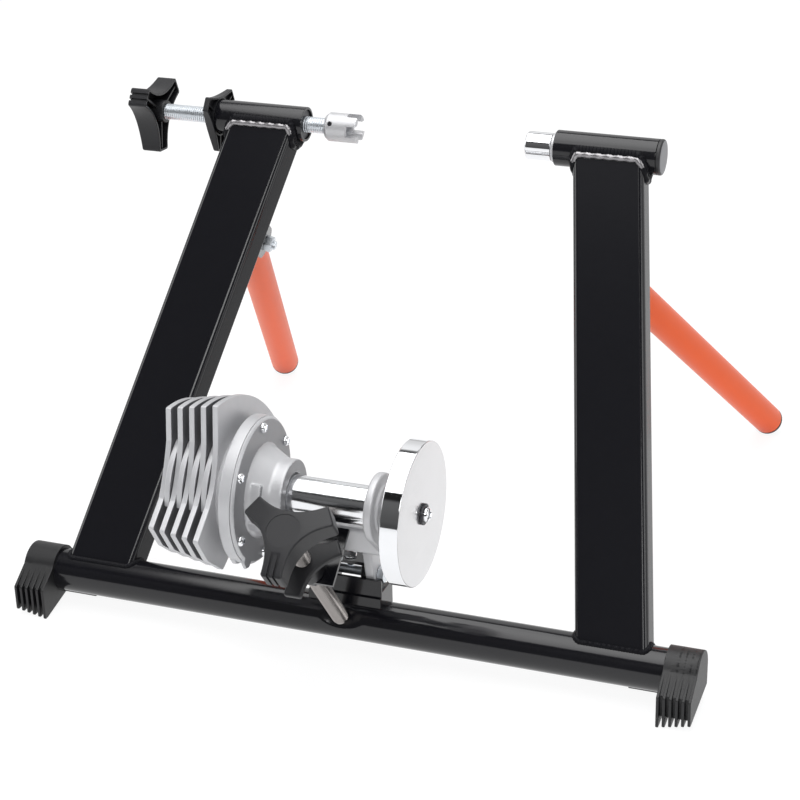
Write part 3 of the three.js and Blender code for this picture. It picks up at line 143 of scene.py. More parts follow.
mirrored = add_node(tree, "ShaderNodeBackground", feeds={"Color": wall.outputs[2]})
lit = add_node(tree, "ShaderNodeMixShader", feeds={
    0: path.outputs["Is Glossy Ray"], 1: room.outputs[0], 2: mirrored.outputs[0],
})
seen = add_node(tree, "ShaderNodeMath", feeds={
    0: path.outputs["Is Camera Ray"], 1: path.outputs["Is Transmission Ray"],
}, operation="MAXIMUM")
view = add_node(tree, "ShaderNodeMixShader", feeds={
    0: seen.outputs[0], 1: lit.outputs[0], 2: backdrop.outputs[0],
})
add_node(tree, "ShaderNodeOutputWorld", feeds={0: view.outputs[0]})

# The floor glows white to the camera and to gloss, and is matt enough to keep the shadow.
FLOOR_REACH = 12
floor_paint = bpy.data.materials.new("studio_floor")
floor_paint.use_nodes = True
tree = floor_paint.node_tree
tree.nodes.clear()
path = add_node(tree, "ShaderNodeLightPath")
matt = add_node(tree, "ShaderNodeBsdfDiffuse", {"Color": (0.85, 0.85, 0.85, 1)})
glow = add_node(tree, "ShaderNodeEmission", {"Strength": 1.12})
seen = add_node(tree, "ShaderNodeMath", feeds={
    0: path.outputs["Is Camera Ray"], 1: path.outputs["Is Glossy Ray"],
}, operation="MAXIMUM")
share = add_node(tree, "ShaderNodeMath", {1: 0.8}, {0: seen.outputs[0]}, operation="MULTIPLY")
blend = add_node(tree, "ShaderNodeMixShader", feeds={
    0: share.outputs[0], 1: matt.outputs[0], 2: glow.outputs[0],
})
add_node(tree, "ShaderNodeOutputMaterial", feeds={0: blend.outputs[0]})
floor_mesh = bpy.data.meshes.new("studio_floor")
floor_corners = [(-1, -1), (1, -1), (1, 1), (-1, 1)]
floor_mesh.from_pydata(
    [(x * FLOOR_REACH, y * FLOOR_REACH, 0) for x, y in floor_corners], [], [(0, 1, 2, 3)],
)
floor_mesh.materials.append(floor_paint)
floor = bpy.data.objects.new("studio_floor", floor_mesh)
bpy.context.scene.collection.objects.link(floor)
floor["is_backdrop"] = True

# Base tube: a steel tube across the floor, powder coated gloss black. Its wall is pressed in where
# the tip of the tension bolt pushes.
MILLIMETRE = 0.001
WHEEL_X = -3
MIDDLE_Y = 189.5
BASE_HEIGHT = 30
BASE_RADIUS = 18.1
BASE_HALF = 290
DENT_ANGLE = math.radians(154)
DENT_DEPTH = 3
DENT_BALL = 60


def shop_material(name, colour, roughness, metallic=0.0, grain=900, relief=0.05, spread=0.04,
                  mottle=0.05, patch=60, coat=0.0, specular=0.5, stretch=(1, 1, 1)):
    """A finish whose roughness, relief and shade vary a little over the piece."""
    material = bpy.data.materials.new(name)
    material.use_nodes = True
    tree = material.node_tree
    shader = tree.nodes["Principled BSDF"]
    shader.inputs["Metallic"].default_value = metallic
    shader.inputs["Coat Weight"].default_value = coat
    shader.inputs["Specular IOR Level"].default_value = specular
    place = add_node(tree, "ShaderNodeTexCoord").outputs["Object"]
    mapping = add_node(tree, "ShaderNodeMapping", {"Scale": stretch}, {"Vector": place})
    fine = add_node(
        tree, "ShaderNodeTexNoise", {"Scale": grain, "Detail": 3}, {"Vector": mapping.outputs[0]},
    ).outputs["Fac"]
    broad = add_node(tree, "ShaderNodeTexNoise", {"Scale": patch, "Detail": 2}, {"Vector": place})
    rough = add_node(
        tree, "ShaderNodeMapRange", {"To Min": roughness - spread, "To Max": roughness + spread},
        {"Value": fine},
    )
    tree.links.new(rough.outputs["Result"], shader.inputs["Roughness"])
    shade = add_node(tree, "ShaderNodeMix", feeds={0: broad.outputs["Fac"]}, data_type="RGBA")
    shade.inputs[6].default_value = [*(part * (1 - mottle) for part in colour), 1]
    shade.inputs[7].default_value = [*(min(1, part * (1 + mottle)) for part in colour), 1]
    tree.links.new(shade.outputs[2], shader.inputs["Base Color"])
    bump = add_node(
        tree, "ShaderNodeBump", {"Strength": relief, "Distance": 0.0004}, {"Height": fine},
    )
    tree.links.new(bump.outputs["Normal"], shader.inputs["Normal"])
    return material


def mesh_object(name, shell):
    """A loose object from a shell drawn in millimetres."""
    mesh = bpy.data.meshes.new(name)
    shell.to_mesh(mesh)
    shell.free()
    made = bpy.data.objects.new(name, mesh)
    bpy.context.scene.collection.objects.link(made)
    return made


def applied(made):
    """The object with its modifiers turned into plain mesh."""
    graph = bpy.context.evaluated_depsgraph_get()
    mesh = bpy.data.meshes.new_from_object(made.evaluated_get(graph))
    made.modifiers.clear()
    made.data = mesh
    return made


def combined(first, others, operation):
    """One shell from several, joined or cut."""
    body = mesh_object("body", first)
    tools = [mesh_object("tool", other) for other in others]
    for tool in tools:
        change = body.modifiers.new("change", "BOOLEAN")
        change.operation = operation
        change.solver = "EXACT"
        change.object = tool
    applied(body)
    shell = bmesh.new()
    shell.from_mesh(body.data)
    for loose in [body, *tools]:
        bpy.data.objects.remove(loose)
    bmesh.ops.remove_doubles(shell, verts=shell.verts, dist=0.002)
    return shell


def finished(name, shell, material, body, finish, *cad_nodes, sharp=34):
    """The piece in its place in metres, riding on its body and standing for its CAD nodes."""
    made = mesh_object(name, shell)
    made.data.transform(Matrix.Scale(MILLIMETRE, 4))
    made.data.shade_smooth()
    made.data.set_sharp_from_angle(angle=math.radians(sharp))
    weighed = made.modifiers.new("weighed", "WEIGHTED_NORMAL")
    weighed.keep_sharp = True
    applied(made)
    made.data.materials.clear()
    made.data.materials.append(material)
    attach(made, body)
    if cad_nodes:
        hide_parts(*cad_nodes)
    return made


def shell_from(points, faces, place):
    """A closed shell from points and faces, put in its place."""
    shell = bmesh.new()
    corners = [shell.verts.new(place @ Vector(point)) for point in points]
    for face in faces:
        shell.faces.new([corners[index] for index in face])
    bmesh.ops.recalc_face_normals(shell, faces=shell.faces)
    return shell


def across(y, z, x=WHEEL_X):
    """Place of a drawing whose third axis runs across the wheel."""
    return Matrix(((0, 0, 1, x), (1, 0, 0, y - MIDDLE_Y), (0, 1, 0, z), (0, 0, 0, 1)))


def polar(radius, angle):
    return radius * math.cos(angle), radius * math.sin(angle)


def wall_faces(rings, count):
    """The faces between rings that have as many points each."""
    faces = []
    for row in range(rings - 1):
        low, high = row * count, (row + 1) * count
        for index in range(count):
            following = (index + 1) % count
            faces.append((low + index, low + following, high + following, high + index))
    return faces


gloss_black = shop_material(
    "gloss_black_paint", (0.007, 0.007, 0.009), 0.15, grain=320, relief=0.02, spread=0.03,
    coat=0.05,
)
DENT_LIP = 0.5

def dented_radius(x, angle):
    """Radius of the tube's wall, pressed in by a ball."""
    centre = BASE_RADIUS - DENT_DEPTH + DENT_BALL
    away = angle - DENT_ANGLE
    along = x - WHEEL_X
    rest = DENT_BALL ** 2 - (centre * math.sin(away)) ** 2 - along ** 2
    if rest <= 0 or math.cos(away) <= 0:
        return BASE_RADIUS
    pressed = centre * math.cos(away) - math.sqrt(rest)
    blend = math.sqrt((pressed - BASE_RADIUS) ** 2 + DENT_LIP ** 2)
    fade = math.exp(-abs(pressed - BASE_RADIUS))
    return (pressed + BASE_RADIUS - blend) / 2 + DENT_LIP / 2 * fade


TUBE_FACETS = 120
stations = [-BASE_HALF, -120, -60]
stations += [WHEEL_X + step * 1.5 for step in range(-26, 27)]
stations += [60, 120, BASE_HALF]
points = []
for x in stations:
    for facet in range(TUBE_FACETS):
        angle = facet * 2 * math.pi / TUBE_FACETS
        y, z = polar(dented_radius(x, angle), angle)
        points.append((x, y - MIDDLE_Y, z + BASE_HEIGHT))
faces = wall_faces(len(stations), TUBE_FACETS)
faces += [range(TUBE_FACETS), range(len(points) - TUBE_FACETS, len(points))]
finished(
    "base_crossbar", shell_from(points, faces, Matrix()), gloss_black, "frame", "black_paint",
    "base_tube",
)

# Feet: soft rubber mouldings pushed on the ends of the base tube, with upright ribs that step up
# toward the outside and a tongue under the tube.
FOOT = {
    "length": 28, "end_wall": 7, "top": 21, "shoulder": math.radians(150), "rear_reach": 38.5,
    "rear_height": 28, "tip_reach": 38, "tip_width": 4, "front_lift": 11, "ribs": 6, "rib": 2.4,
    "rise": 1.1, "groove": 6, "tongue": 31, "tongue_front": -2.5, "tongue_back": 19, "drop": 3.6,
    "edge": 0.5,
}


def rounded(points, radius, steps=5, closed=True):
    """An outline with its corners rounded; radius is one number or one for each corner."""
    count = len(points)
    radii = radius if isinstance(radius, (list, tuple)) else [radius] * count
    result = []
    for index, point in enumerate(points):
        here = Vector(point)
        if radii[index] <= 0 or (not closed and index in (0, count - 1)):
            result.append(here)
            continue
        before = Vector(points[index - 1]) - here
        after = Vector(points[(index + 1) % count]) - here
        spread = before.angle(after)
        if math.pi - spread < 0.02:
            result.append(here)
            continue
        reach = min(radii[index] / math.tan(spread / 2), 0.48 * before.length, 0.48 * after.length)
        arc_radius = reach * math.tan(spread / 2)
        inward = (before.normalized() + after.normalized()).normalized()
        centre = here + inward * arc_radius / math.sin(spread / 2)
        first = here + before.normalized() * reach - centre
        last = here + after.normalized() * reach - centre
        sweep = math.pi - spread
        for step in range(steps + 1):
            part = step / steps
            near = math.sin((1 - part) * sweep) / math.sin(sweep)
            far = math.sin(part * sweep) / math.sin(sweep)
            result.append(centre + first * near + last * far)
    return [(point.x, point.y) for point in result]


def inset(points, distance):
    """An outline moved inward by a distance."""
    count = len(points)
    area = sum(
        points[i][0] * points[(i + 1) % count][1] - points[(i + 1) % count][0] * points[i][1]
        for i in range(count)
    )
    side = 1 if area > 0 else -1
    result = []
    for index, point in enumerate(points):
        before = (Vector(point) - Vector(points[index - 1])).normalized()
        after = (Vector(points[(index + 1) % count]) - Vector(point)).normalized()
        first = Vector((-before.y, before.x)) * side
        second = Vector((-after.y, after.x)) * side
        moved = Vector(point) + (first + second) * distance / max(0.3, 1 + first.dot(second))
        result.append((moved.x, moved.y))
    return result


def raised(outline, bottom, top, place, edge=0.0, steps=3):
    """A flat outline made thick, with its edges rounded."""
    levels = [(0, bottom), (0, top)]
    if edge > 0:
        turns = [step / steps * math.pi / 2 for step in range(steps + 1)]
        levels = [(edge * (1 - math.sin(a)), bottom + edge * (1 - math.cos(a))) for a in turns]
        levels += [(shift, top + bottom - height) for shift, height in reversed(levels)]
    points, count = [], len(outline)
    for shift, height in levels:
        ring = inset(outline, shift) if shift > 0 else outline
        points += [(x, y, height) for x, y in ring]
    faces = wall_faces(len(levels), count)
    faces += [range(count), range(len(points) - count, len(points))]
    return shell_from(points, faces, place)


def turned(outline, place, facets=96):
    """A body of revolution about its third axis, from pairs of height and radius."""
    points, faces, rings = [], [], []
    whole = outline[0] == outline[-1]
    for height, radius in outline[:-1] if whole else outline:
        if radius < 0.0001:
            rings.append([len(points)])
            points.append((0, 0, height))
            continue
        rings.append(range(len(points), len(points) + facets))
        rings.append(range(len(points), len(points) + facets))
        ring = [polar(radius, facet * 2 * math.pi / facets) for facet in range(facets)]
        points += [(x, y, height) for x, y in ring]
    pairs = list(zip(rings, rings[1:]))
    if whole:
        pairs.append((rings[-1], rings[0]))
    for low, high in pairs:
        for facet in range(facets):
            following = (facet + 1) % facets
            corners = [low[facet % len(low)], low[following % len(low)]]
            corners += [high[following % len(high)], high[facet % len(high)]]
            corners = list(dict.fromkeys(corners))
            if len(corners) > 2:
                faces.append(corners)
    return shell_from(points, faces, place)


def joined(*shells):
    """Several closed shells in one."""
    whole = bmesh.new()
    for shell in shells:
        mesh = bpy.data.meshes.new("part")
        shell.to_mesh(mesh)
        shell.free()
        whole.from_mesh(mesh)
        bpy.data.meshes.remove(mesh)
    return whole


def bar_outline(start, end, radius, ease=0.0):
    """Half section of a solid bar, with its edges eased."""
    if ease == 0:
        return [(start, 0), (start, radius), (end, radius), (end, 0)]
    return [
        (start, 0), (start, radius - ease), (start + ease * 0.3, radius - ease * 0.3),
        (start + ease, radius), (end - ease, radius), (end - ease * 0.3, radius - ease * 0.3),
        (end, radius - ease), (end, 0),
    ]


def foot_outline(depth, lift):
    """Side view of a rib, or of the core when it is drawn in by a depth."""
    floor_level = lift - BASE_HEIGHT
    arc = [polar(FOOT["top"], FOOT["shoulder"] * step / 20) for step in range(21)]
    front = FOOT["top"] - depth / 2
    if depth > 0:
        arc = [(front, 0)] + arc
    lower = [
        (-FOOT["rear_reach"] + depth / 2, FOOT["rear_height"] - BASE_HEIGHT),
        (-FOOT["tip_reach"] + depth, floor_level + depth),
        (-FOOT["tip_reach"] + FOOT["tip_width"] + depth, floor_level + depth),
        (front, FOOT["front_lift"] - BASE_HEIGHT + depth),
    ]
    radii = [0] * len(arc) + [1.5, 1.2, 1.2, 1.5]
    return rounded(arc + lower, radii, 3)


matt_rubber = shop_material(
    "matt_foot_rubber", (0.007, 0.007, 0.008), 0.45, grain=1400, relief=0.25, spread=0.08,
    mottle=0.12,
)
for word, side in (("left", -1), ("right", 1)):
    inner = BASE_HALF + FOOT["end_wall"] - FOOT["length"]
    outer = inner + FOOT["length"]
    pitch = (FOOT["length"] - FOOT["rib"]) / (FOOT["ribs"] - 1)
    place = across(0, BASE_HEIGHT, 0)
    if side < 0:
        place = Matrix.Scale(-1, 4, (1, 0, 0)) @ place
    shells = [raised(foot_outline(FOOT["groove"], FOOT["rise"]), inner + 0.2, outer - 1, place)]
    for rib in range(FOOT["ribs"]):
        start, rib_outline = inner + rib * pitch, foot_outline(0, rib * FOOT["rise"])
        shells.append(raised(rib_outline, start, start + FOOT["rib"], place, FOOT["edge"], 2))
    front, rear = FOOT["tongue_front"], FOOT["tongue_back"]
    tongue = rounded([
        (front, -BASE_RADIUS - FOOT["drop"]), (rear, -BASE_RADIUS / 2 - FOOT["drop"]),
        (rear, -BASE_RADIUS / 2), (front, -BASE_RADIUS / 2),
    ], 0.8, 3)
    shells.append(raised(tongue, inner - FOOT["tongue"], inner + 1, place, FOOT["edge"], 2))
    whole = combined(shells[0], shells[1:], "UNION")
    bore_start, bore_end = inner - FOOT["tongue"] - 5, BASE_HALF + 0.1
    bore = turned(bar_outline(bore_start, bore_end, BASE_RADIUS + 0.1), place)
    finished(
        f"rubber_foot_{word}", combined(whole, [bore], "DIFFERENCE"), matt_rubber, "frame",
        "foot_rubber", f"foot_{word}",
    )

# Uprights: rectangular steel tubes that lean forward and inward, saddled to the round tubes at both
# ends and welded all round. Paint covers the rippled beads; they and the flat faces get a duller
# copy of the gloss black as painted shade, and the front of a broad bead on each head is a painted
# highlight.
UPRIGHT = {
    "width": 60, "depth": 30, "corner": 5, "foot": 228.7, "head": 155.1, "inset": 3, "saddle": 0.6,
}
CLAMP_Y = 236.5
CLAMP_HEIGHT = 374.2
CLAMP_RADIUS = 15.2


def upright_axes(side):
    base = Vector((side * UPRIGHT["foot"], 0, BASE_HEIGHT))
    head = Vector((side * UPRIGHT["head"], CLAMP_Y, CLAMP_HEIGHT))
    along = (head - base).normalized()
    out = Vector((0, along.z, -along.y)).normalized()
    return base, along, out.cross(along), out, (head - base).length


def meeting_height(axes, x, y, radius, headward):
    """Height at which a line of the upright's outline meets a tube that runs across."""
    _, along, side_axis, out, length = axes
    start = side_axis * x + out * y
    slope = math.hypot(along.y, along.z)
    middle = -(start.y * along.y + start.z * along.z) / slope ** 2
    nearest = start + along * middle
    reach = math.sqrt(max(0, radius ** 2 - nearest.y ** 2 - nearest.z ** 2)) / slope
    return length + middle - reach if headward else middle + reach


def upright_place(axes):
    base, along, side_axis, out, _ = axes
    turn = Matrix((side_axis, out, along)).transposed().to_4x4()
    return Matrix.Translation((WHEEL_X + base.x, base.y - MIDDLE_Y, base.z)) @ turn


def rectangle(width, height, radius=0.0, steps=5):
    x, y = width / 2, height / 2
    return rounded([(-x, -y), (x, -y), (x, y), (-x, y)], radius, steps)


def grower_tree(name, *inputs):
    """A node tree with named inputs after its geometry; gives its input node and sockets too."""
    tree = bpy.data.node_groups.new(name, "GeometryNodeTree")
    tree.interface.new_socket("Geometry", in_out="INPUT", socket_type="NodeSocketGeometry")
    sockets = [
        tree.interface.new_socket(title, in_out="INPUT", socket_type=f"NodeSocket{kind}")
        for title, kind in inputs
    ]
    tree.interface.new_socket("Geometry", in_out="OUTPUT", socket_type="NodeSocketGeometry")
    return tree, add_node(tree, "NodeGroupInput").outputs, sockets


def tree_end(tree, geometry, material):
    """The end of a tree: real geometry in its material."""
    real = add_node(tree, "GeometryNodeRealizeInstances", feeds={"Geometry": geometry})
    coated = add_node(tree, "GeometryNodeSetMaterial", feeds={
        "Geometry": real.outputs["Geometry"], "Material": material,
    })
    add_node(tree, "NodeGroupOutput", feeds={"Geometry": coated.outputs["Geometry"]})


def bead_tree():
    """Node tree that runs a rippled weld bead along a closed path."""
    tree, given, sockets = grower_tree(
        "weld_bead", ("Bead Radius", "Float"), ("Ripple Length", "Float"),
        ("Ripple Share", "Float"), ("Paint", "Material"),
    )
    to_curve = add_node(tree, "GeometryNodeMeshToCurve", feeds={"Mesh": given["Geometry"]})
    even = add_node(
        tree, "GeometryNodeResampleCurve", {"Length": 0.5}, {"Curve": to_curve.outputs["Curve"]},
        mode="LENGTH",
    )
    spline = add_node(tree, "GeometryNodeSplineParameter")
    phase = add_node(tree, "ShaderNodeMath", feeds={
        0: spline.outputs["Length"], 1: given["Ripple Length"],
    }, operation="DIVIDE")
    whole_turn = add_node(
        tree, "ShaderNodeMath", {1: math.tau}, {0: phase.outputs[0]}, operation="MULTIPLY",
    )
    wave = add_node(tree, "ShaderNodeMath", feeds={0: whole_turn.outputs[0]}, operation="SINE")
    swell = add_node(
        tree, "ShaderNodeMath", {2: 1.0}, {0: wave.outputs[0], 1: given["Ripple Share"]},
        operation="MULTIPLY_ADD",
    )
    thick = add_node(tree, "ShaderNodeMath", feeds={
        0: swell.outputs[0], 1: given["Bead Radius"],
    }, operation="MULTIPLY")
    ring = add_node(tree, "GeometryNodeCurvePrimitiveCircle", {"Resolution": 12, "Radius": 1.0})
    sweep = add_node(tree, "GeometryNodeCurveToMesh", feeds={
        "Curve": even.outputs["Curve"], "Profile Curve": ring.outputs["Curve"],
        "Scale": thick.outputs[0],
    })
    tree_end(tree, sweep.outputs["Mesh"], given["Paint"])
    return tree, sockets


weld_tree, weld_sockets = bead_tree()
# Painted shade: a duller, hardly reflecting copy of the gloss black for the uprights' flat faces
# and beads.
shaded_black = shop_material(
    "shaded_black_paint", (0.010, 0.010, 0.012), 0.2, grain=320, relief=0.02, spread=0.03,
    specular=0.06,
)
# Painted highlight: bright grey metal on the front of the broad head bead, for the light it
# catches.
painted_weld_highlight = shop_material(
    "painted_weld_highlight_bead", (0.34, 0.33, 0.34), 0.3, metallic=0.8, grain=300, relief=0.08, spread=0.06,
    mottle=0.2,
)


def grown(shell, tree, sockets, values):
    """The shell that a node tree makes from a drawing, as plain mesh."""
    source = mesh_object("source", shell)
    change = source.modifiers.new("grow", "NODES")
    change.node_group = tree
    for socket, value in zip(sockets, values):
        change[socket.identifier] = value
    applied(source)
    result = bmesh.new()
    result.from_mesh(source.data)
    bpy.data.objects.remove(source)
    return result


# For each bead: the tube's radius, whether it is at the head, how far it lies from the joint, its
# own radius, its ripple's length and its paint: the duller copy as painted shade, or the painted
# highlight.
WELD_BEADS = (
    (BASE_RADIUS, False, 0, 2.3, 2.2, shaded_black),
    (CLAMP_RADIUS, True, 1.6, 3.6, 3, shaded_black),
    (CLAMP_RADIUS, True, 5.8, 2.9, 9, painted_weld_highlight),
)
RIPPLE_SHARE = 0.09
FLAT_FACING = 0.985
for word, side in (("left", -1), ("right", 1)):
    axes = upright_axes(side)
    place = upright_place(axes)
    outline = rectangle(UPRIGHT["width"], UPRIGHT["depth"], UPRIGHT["corner"], 8)
    top, count = axes[4] - UPRIGHT["inset"], len(outline)
    foot_radius, head_radius = BASE_RADIUS - UPRIGHT["saddle"], CLAMP_RADIUS - UPRIGHT["saddle"]
    points = [(x, y, meeting_height(axes, x, y, foot_radius, False)) for x, y in outline]
    points += [
        (x, y, min(top, meeting_height(axes, x, y, head_radius, True))) for x, y in outline
    ]
    faces = wall_faces(2, count) + [range(count), range(count, 2 * count)]
    shells = [shell_from(points, faces, place)]
    for radius, headward, drop, bead, ripple, paint in WELD_BEADS:
        dense = rectangle(UPRIGHT["width"], UPRIGHT["depth"], UPRIGHT["corner"], 12)
        path_shell = bmesh.new()
        corners = []
        for (x0, y0), (x1, y1) in zip(dense, dense[1:] + dense[:1]):
            steps = max(1, round(math.hypot(x1 - x0, y1 - y0)))
            for step in range(steps):
                x, y = x0 + (x1 - x0) * step / steps, y0 + (y1 - y0) * step / steps
                height = meeting_height(axes, x, y, radius, headward) - drop
                corners.append(path_shell.verts.new(place @ Vector((x, y, height))))
        for first, second in zip(corners, corners[1:] + corners[:1]):
            path_shell.edges.new((first, second))
        sizes = (bead, ripple, RIPPLE_SHARE, paint)
        shells.append(grown(path_shell, weld_tree, weld_sockets, sizes))
    tube_faces = len(shells[0].faces)
    painted = sum(len(shell.faces) for shell in shells[:-1])
    box = finished(
        f"box_upright_{word}", joined(*shells), shaded_black, "frame", "black_paint",
        f"upright_{word}",
    )
    box.data.materials.append(painted_weld_highlight)
    box.data.materials.append(gloss_black)
    to_tube = place.inverted()
    # The front of the last bead gets the painted highlight; the tube's rounded corners keep the
    # gloss black, and its flat faces keep the duller copy as painted shade.
    for polygon in box.data.polygons:
        facing = to_tube.to_3x3() @ polygon.normal
        middle = to_tube @ (polygon.center / MILLIMETRE)
        if polygon.index >= painted and middle.y < -UPRIGHT["depth"] / 2:
            polygon.material_index = 1
        elif polygon.index < tube_faces and max(abs(facing.x), abs(facing.y)) < FLAT_FACING:
            polygon.material_index = 2

# Clamp tubes: short round tubes across the heads of the uprights, in the same gloss black. The
# right one ends in a moulded plug.
SLEEVES = (("left", -206, -119.2), ("right", 108.5, 196.8))
SLEEVE_BORE = 13
clamp_place = across(CLAMP_Y, CLAMP_HEIGHT)


def tube_outline(start, end, outer, inner, ease=0.6):
    """Half section of a tube, with its outer edges eased."""
    return [
        (start, inner), (start, outer - ease), (start + ease * 0.3, outer - ease * 0.3),
        (start + ease, outer), (end - ease, outer), (end - ease * 0.3, outer - ease * 0.3),
        (end, outer - ease), (end, inner), (start, inner),
    ]


for word, start, end in SLEEVES:
    sleeve = turned(tube_outline(start, end, CLAMP_RADIUS, SLEEVE_BORE), clamp_place)
    finished(
        f"clamp_sleeve_{word}", sleeve, gloss_black, "frame", "black_paint", f"clamp_tube_{word}",
    )
moulded_plug = shop_material(
    "moulded_plug_plastic", (0.02, 0.02, 0.022), 0.42, grain=1500, relief=0.15, spread=0.06,
    mottle=0.1,
)
plug_outline = rounded([
    (180.8, 0), (180.8, 12.8), (197.1, 12.8), (197.1, 15.2), (200.6, 15.2), (200.9, 11), (201, 0),
], [0, 0.5, 0, 0.3, 2.2, 0.4, 0], 5, False)
plug = finished(
    "tube_plug", turned(plug_outline, clamp_place), moulded_plug, "frame", "plug_plastic",
    "clamp_end_plug",
)
# Painted reflection: the plug's outer end face is painted a lighter grey than its body, for the
# bright light it reflects.
painted_plug_sheen = shop_material(
    "painted_plug_sheen_plastic", (0.22, 0.22, 0.23), 0.4, grain=1500, relief=0.15, spread=0.06, mottle=0.06,
)
plug.data.materials.append(painted_plug_sheen)
for polygon in plug.data.polygons:
    if polygon.normal.x > 0.95 and polygon.center.x > 0.197:
        polygon.material_index = 1

# Clamp screw: a zinc plated threaded rod that runs through two threaded bushes in the left tube
# and pushes the notched cup toward the axle.
zinc_plate = shop_material(
    "bluish_zinc_plate", (0.74, 0.78, 0.82), 0.34, metallic=0.9, grain=700, relief=0.02,
    spread=0.03, mottle=0.05, patch=120,
)
dark_oxide = shop_material(
    "dark_oxide_steel", (0.05, 0.05, 0.055), 0.38, metallic=0.8, grain=800, relief=0.08,
    spread=0.08,
)
satin_steel = shop_material(
    "satin_turned_steel", (0.60, 0.60, 0.61), 0.4, metallic=0.55, grain=500, relief=0.05,
    spread=0.06, stretch=(6, 1, 1),
)


def thread_tree():
    """Node tree that winds a ridge of thread from turns, length and radius."""
    tree, given, sockets = grower_tree(
        "thread_ridge", ("Turns", "Float"), ("Length", "Float"), ("Radius", "Float"),
        ("Ridge", "Float"), ("Plate", "Material"),
    )
    helix = add_node(tree, "GeometryNodeCurveSpiral", {"Resolution": 28}, {
        "Rotations": given["Turns"], "Start Radius": given["Radius"], "End Radius": given["Radius"],
        "Height": given["Length"],
    })
    level_curve = add_node(
        tree, "GeometryNodeSetCurveNormal", feeds={"Curve": helix.outputs["Curve"]}, mode="Z_UP",
    )
    profile = add_node(
        tree, "GeometryNodeCurvePrimitiveCircle", {"Resolution": 4}, {"Radius": given["Ridge"]},
    )
    sweep = add_node(tree, "GeometryNodeCurveToMesh", {"Fill Caps": True}, {
        "Curve": level_curve.outputs["Curve"], "Profile Curve": profile.outputs["Curve"],
    })
    both = add_node(tree, "GeometryNodeJoinGeometry", feeds={"Geometry": given["Geometry"]})
    tree.links.new(sweep.outputs["Mesh"], both.inputs["Geometry"])
    tree_end(tree, both.outputs["Geometry"], given["Plate"])
    return tree, sockets


ridge_tree, ridge_sockets = thread_tree()


def threaded(core, start, length, pitch, radius, ridge, place):
    """A turned core with a thread wound on it from a start, both along the third axis."""
    core.transform(Matrix.Translation((0, 0, -start)))
    sizes = (length / pitch, length, radius, ridge, zinc_plate)
    whole = grown(core, ridge_tree, ridge_sockets, sizes)
    whole.transform(place @ Matrix.Translation((0, 0, start)))
    return whole


ROD_RADIUS = 7.1
ROD_CORE = ROD_RADIUS - 0.4
ROD_RIDGE = 0.38
THREAD_PITCH = 2.0
RUNNING_GAP = 0.3
rod_core = turned(bar_outline(-262, -84, ROD_CORE, 1.0), Matrix(), 64)
finished(
    "threaded_rod", threaded(rod_core, -261, 159, THREAD_PITCH, ROD_CORE, ROD_RIDGE, clamp_place),
    zinc_plate, "clamp_drive", "zinc_plate", "clamp_screw", sharp=50,
)
BUSH_LENGTH = 18
for name, start in (("clamp_bush_outer", -204.5), ("clamp_bush_inner", -138.7)):
    bush_outline = tube_outline(start, start + BUSH_LENGTH, 12.9, ROD_RADIUS + 0.2, 0.5)
    bush = turned(bush_outline, clamp_place)
    finished(f"{name}_ring", bush, dark_oxide, "frame", "dark_steel", name)

# Clamp handle and its lock: two three-lobed mouldings in fine grained charcoal plastic. The handle
# is hollow toward the wheel and holds the rod's end; the lock turns on the thread.
charcoal_plastic = shop_material(
    "charcoal_moulded_plastic", (0.012, 0.012, 0.014), 0.4, grain=1800, relief=0.22, spread=0.06,
    mottle=0.08, specular=0.4,
)
KNOB = {
    "length": 20.5, "waist": 16.5, "wall": 1.9, "depth": 15.5, "flat": 14, "drop": 3, "boss": 10,
    "web": 1.6, "web_sunk": 1.5, "groove_width": 2.2, "groove_pitch": 5.2, "groove_depth": 1.5,
    "groove_start": 17,
}


def lobed_outline(reach, width, waist, turn, corner=2.5, margin=0.0):
    """Three lobes with square ends and a smooth valley between each two, drawn in by a margin."""
    half = width / 2 - margin
    corner_angle = math.atan2(half, reach - margin)
    corner_radius = math.hypot(half, reach - margin)
    middle = corner_radius * math.cos(math.pi / 3 - corner_angle)
    points, radii = [], []
    for lobe in range(3):
        heading = turn + lobe * math.tau / 3
        first = Vector(polar(corner_radius, heading - corner_angle))
        last = Vector(polar(corner_radius, heading + corner_angle))
        control = Vector(polar(2 * (waist - margin) - middle, heading + math.pi / 3))
        following = Vector(polar(corner_radius, heading + math.tau / 3 - corner_angle))
        points += [tuple(first), tuple(last)]
        radii += [corner, corner]
        for step in range(1, 14):
            part = step / 14
            bend = last * (1 - part) ** 2 + control * 2 * part * (1 - part) + following * part ** 2
            points.append(tuple(bend))
            radii.append(0)
    return rounded(points, radii, 4)


def crowned(outline, length, low_edge, high_edge, flat, drop):
    """A body that stands on zero, with rounded edges and a far face that falls away outward."""
    reach = max(math.hypot(x, y) for x, y in outline)

    def far_height(x, y):
        away = max(0, math.hypot(x, y) - flat) / (reach - flat)
        return length - drop * away ** 1.3

    rings = []
    turns = [step / 5 * math.pi / 2 for step in range(6)]
    for angle in turns:
        ring = inset(outline, low_edge * (1 - math.sin(angle)))
        rings.append([(x, y, low_edge * (1 - math.cos(angle))) for x, y in ring])
    for angle in reversed(turns):
        ring = inset(outline, high_edge * (1 - math.sin(angle)))
        sunk = high_edge * (1 - math.cos(angle))
        rings.append([(x, y, far_height(x, y) - sunk) for x, y in ring])
    border, count = rings[-1], len(outline)
    for share in (0.9, 0.8, 0.7, 0.6, 0.5, 0.4, 0.2):
        ring = [(x * share, y * share) for x, y, _ in border]
        rings.append([(x, y, far_height(x, y)) for x, y in ring])
    points = [point for ring in rings for point in ring]
    faces = [range(count), range(len(points) - count, len(points))]
    faces += wall_faces(len(rings), count)
    return shell_from(points, faces, Matrix())


def lobe_turn(turn, lobe):
    return Matrix.Rotation(turn + lobe * math.tau / 3, 4, "Z")


def box_outline(x0, y0, x1, y1):
    return [(x0, y0), (x1, y0), (x1, y1), (x0, y1)]


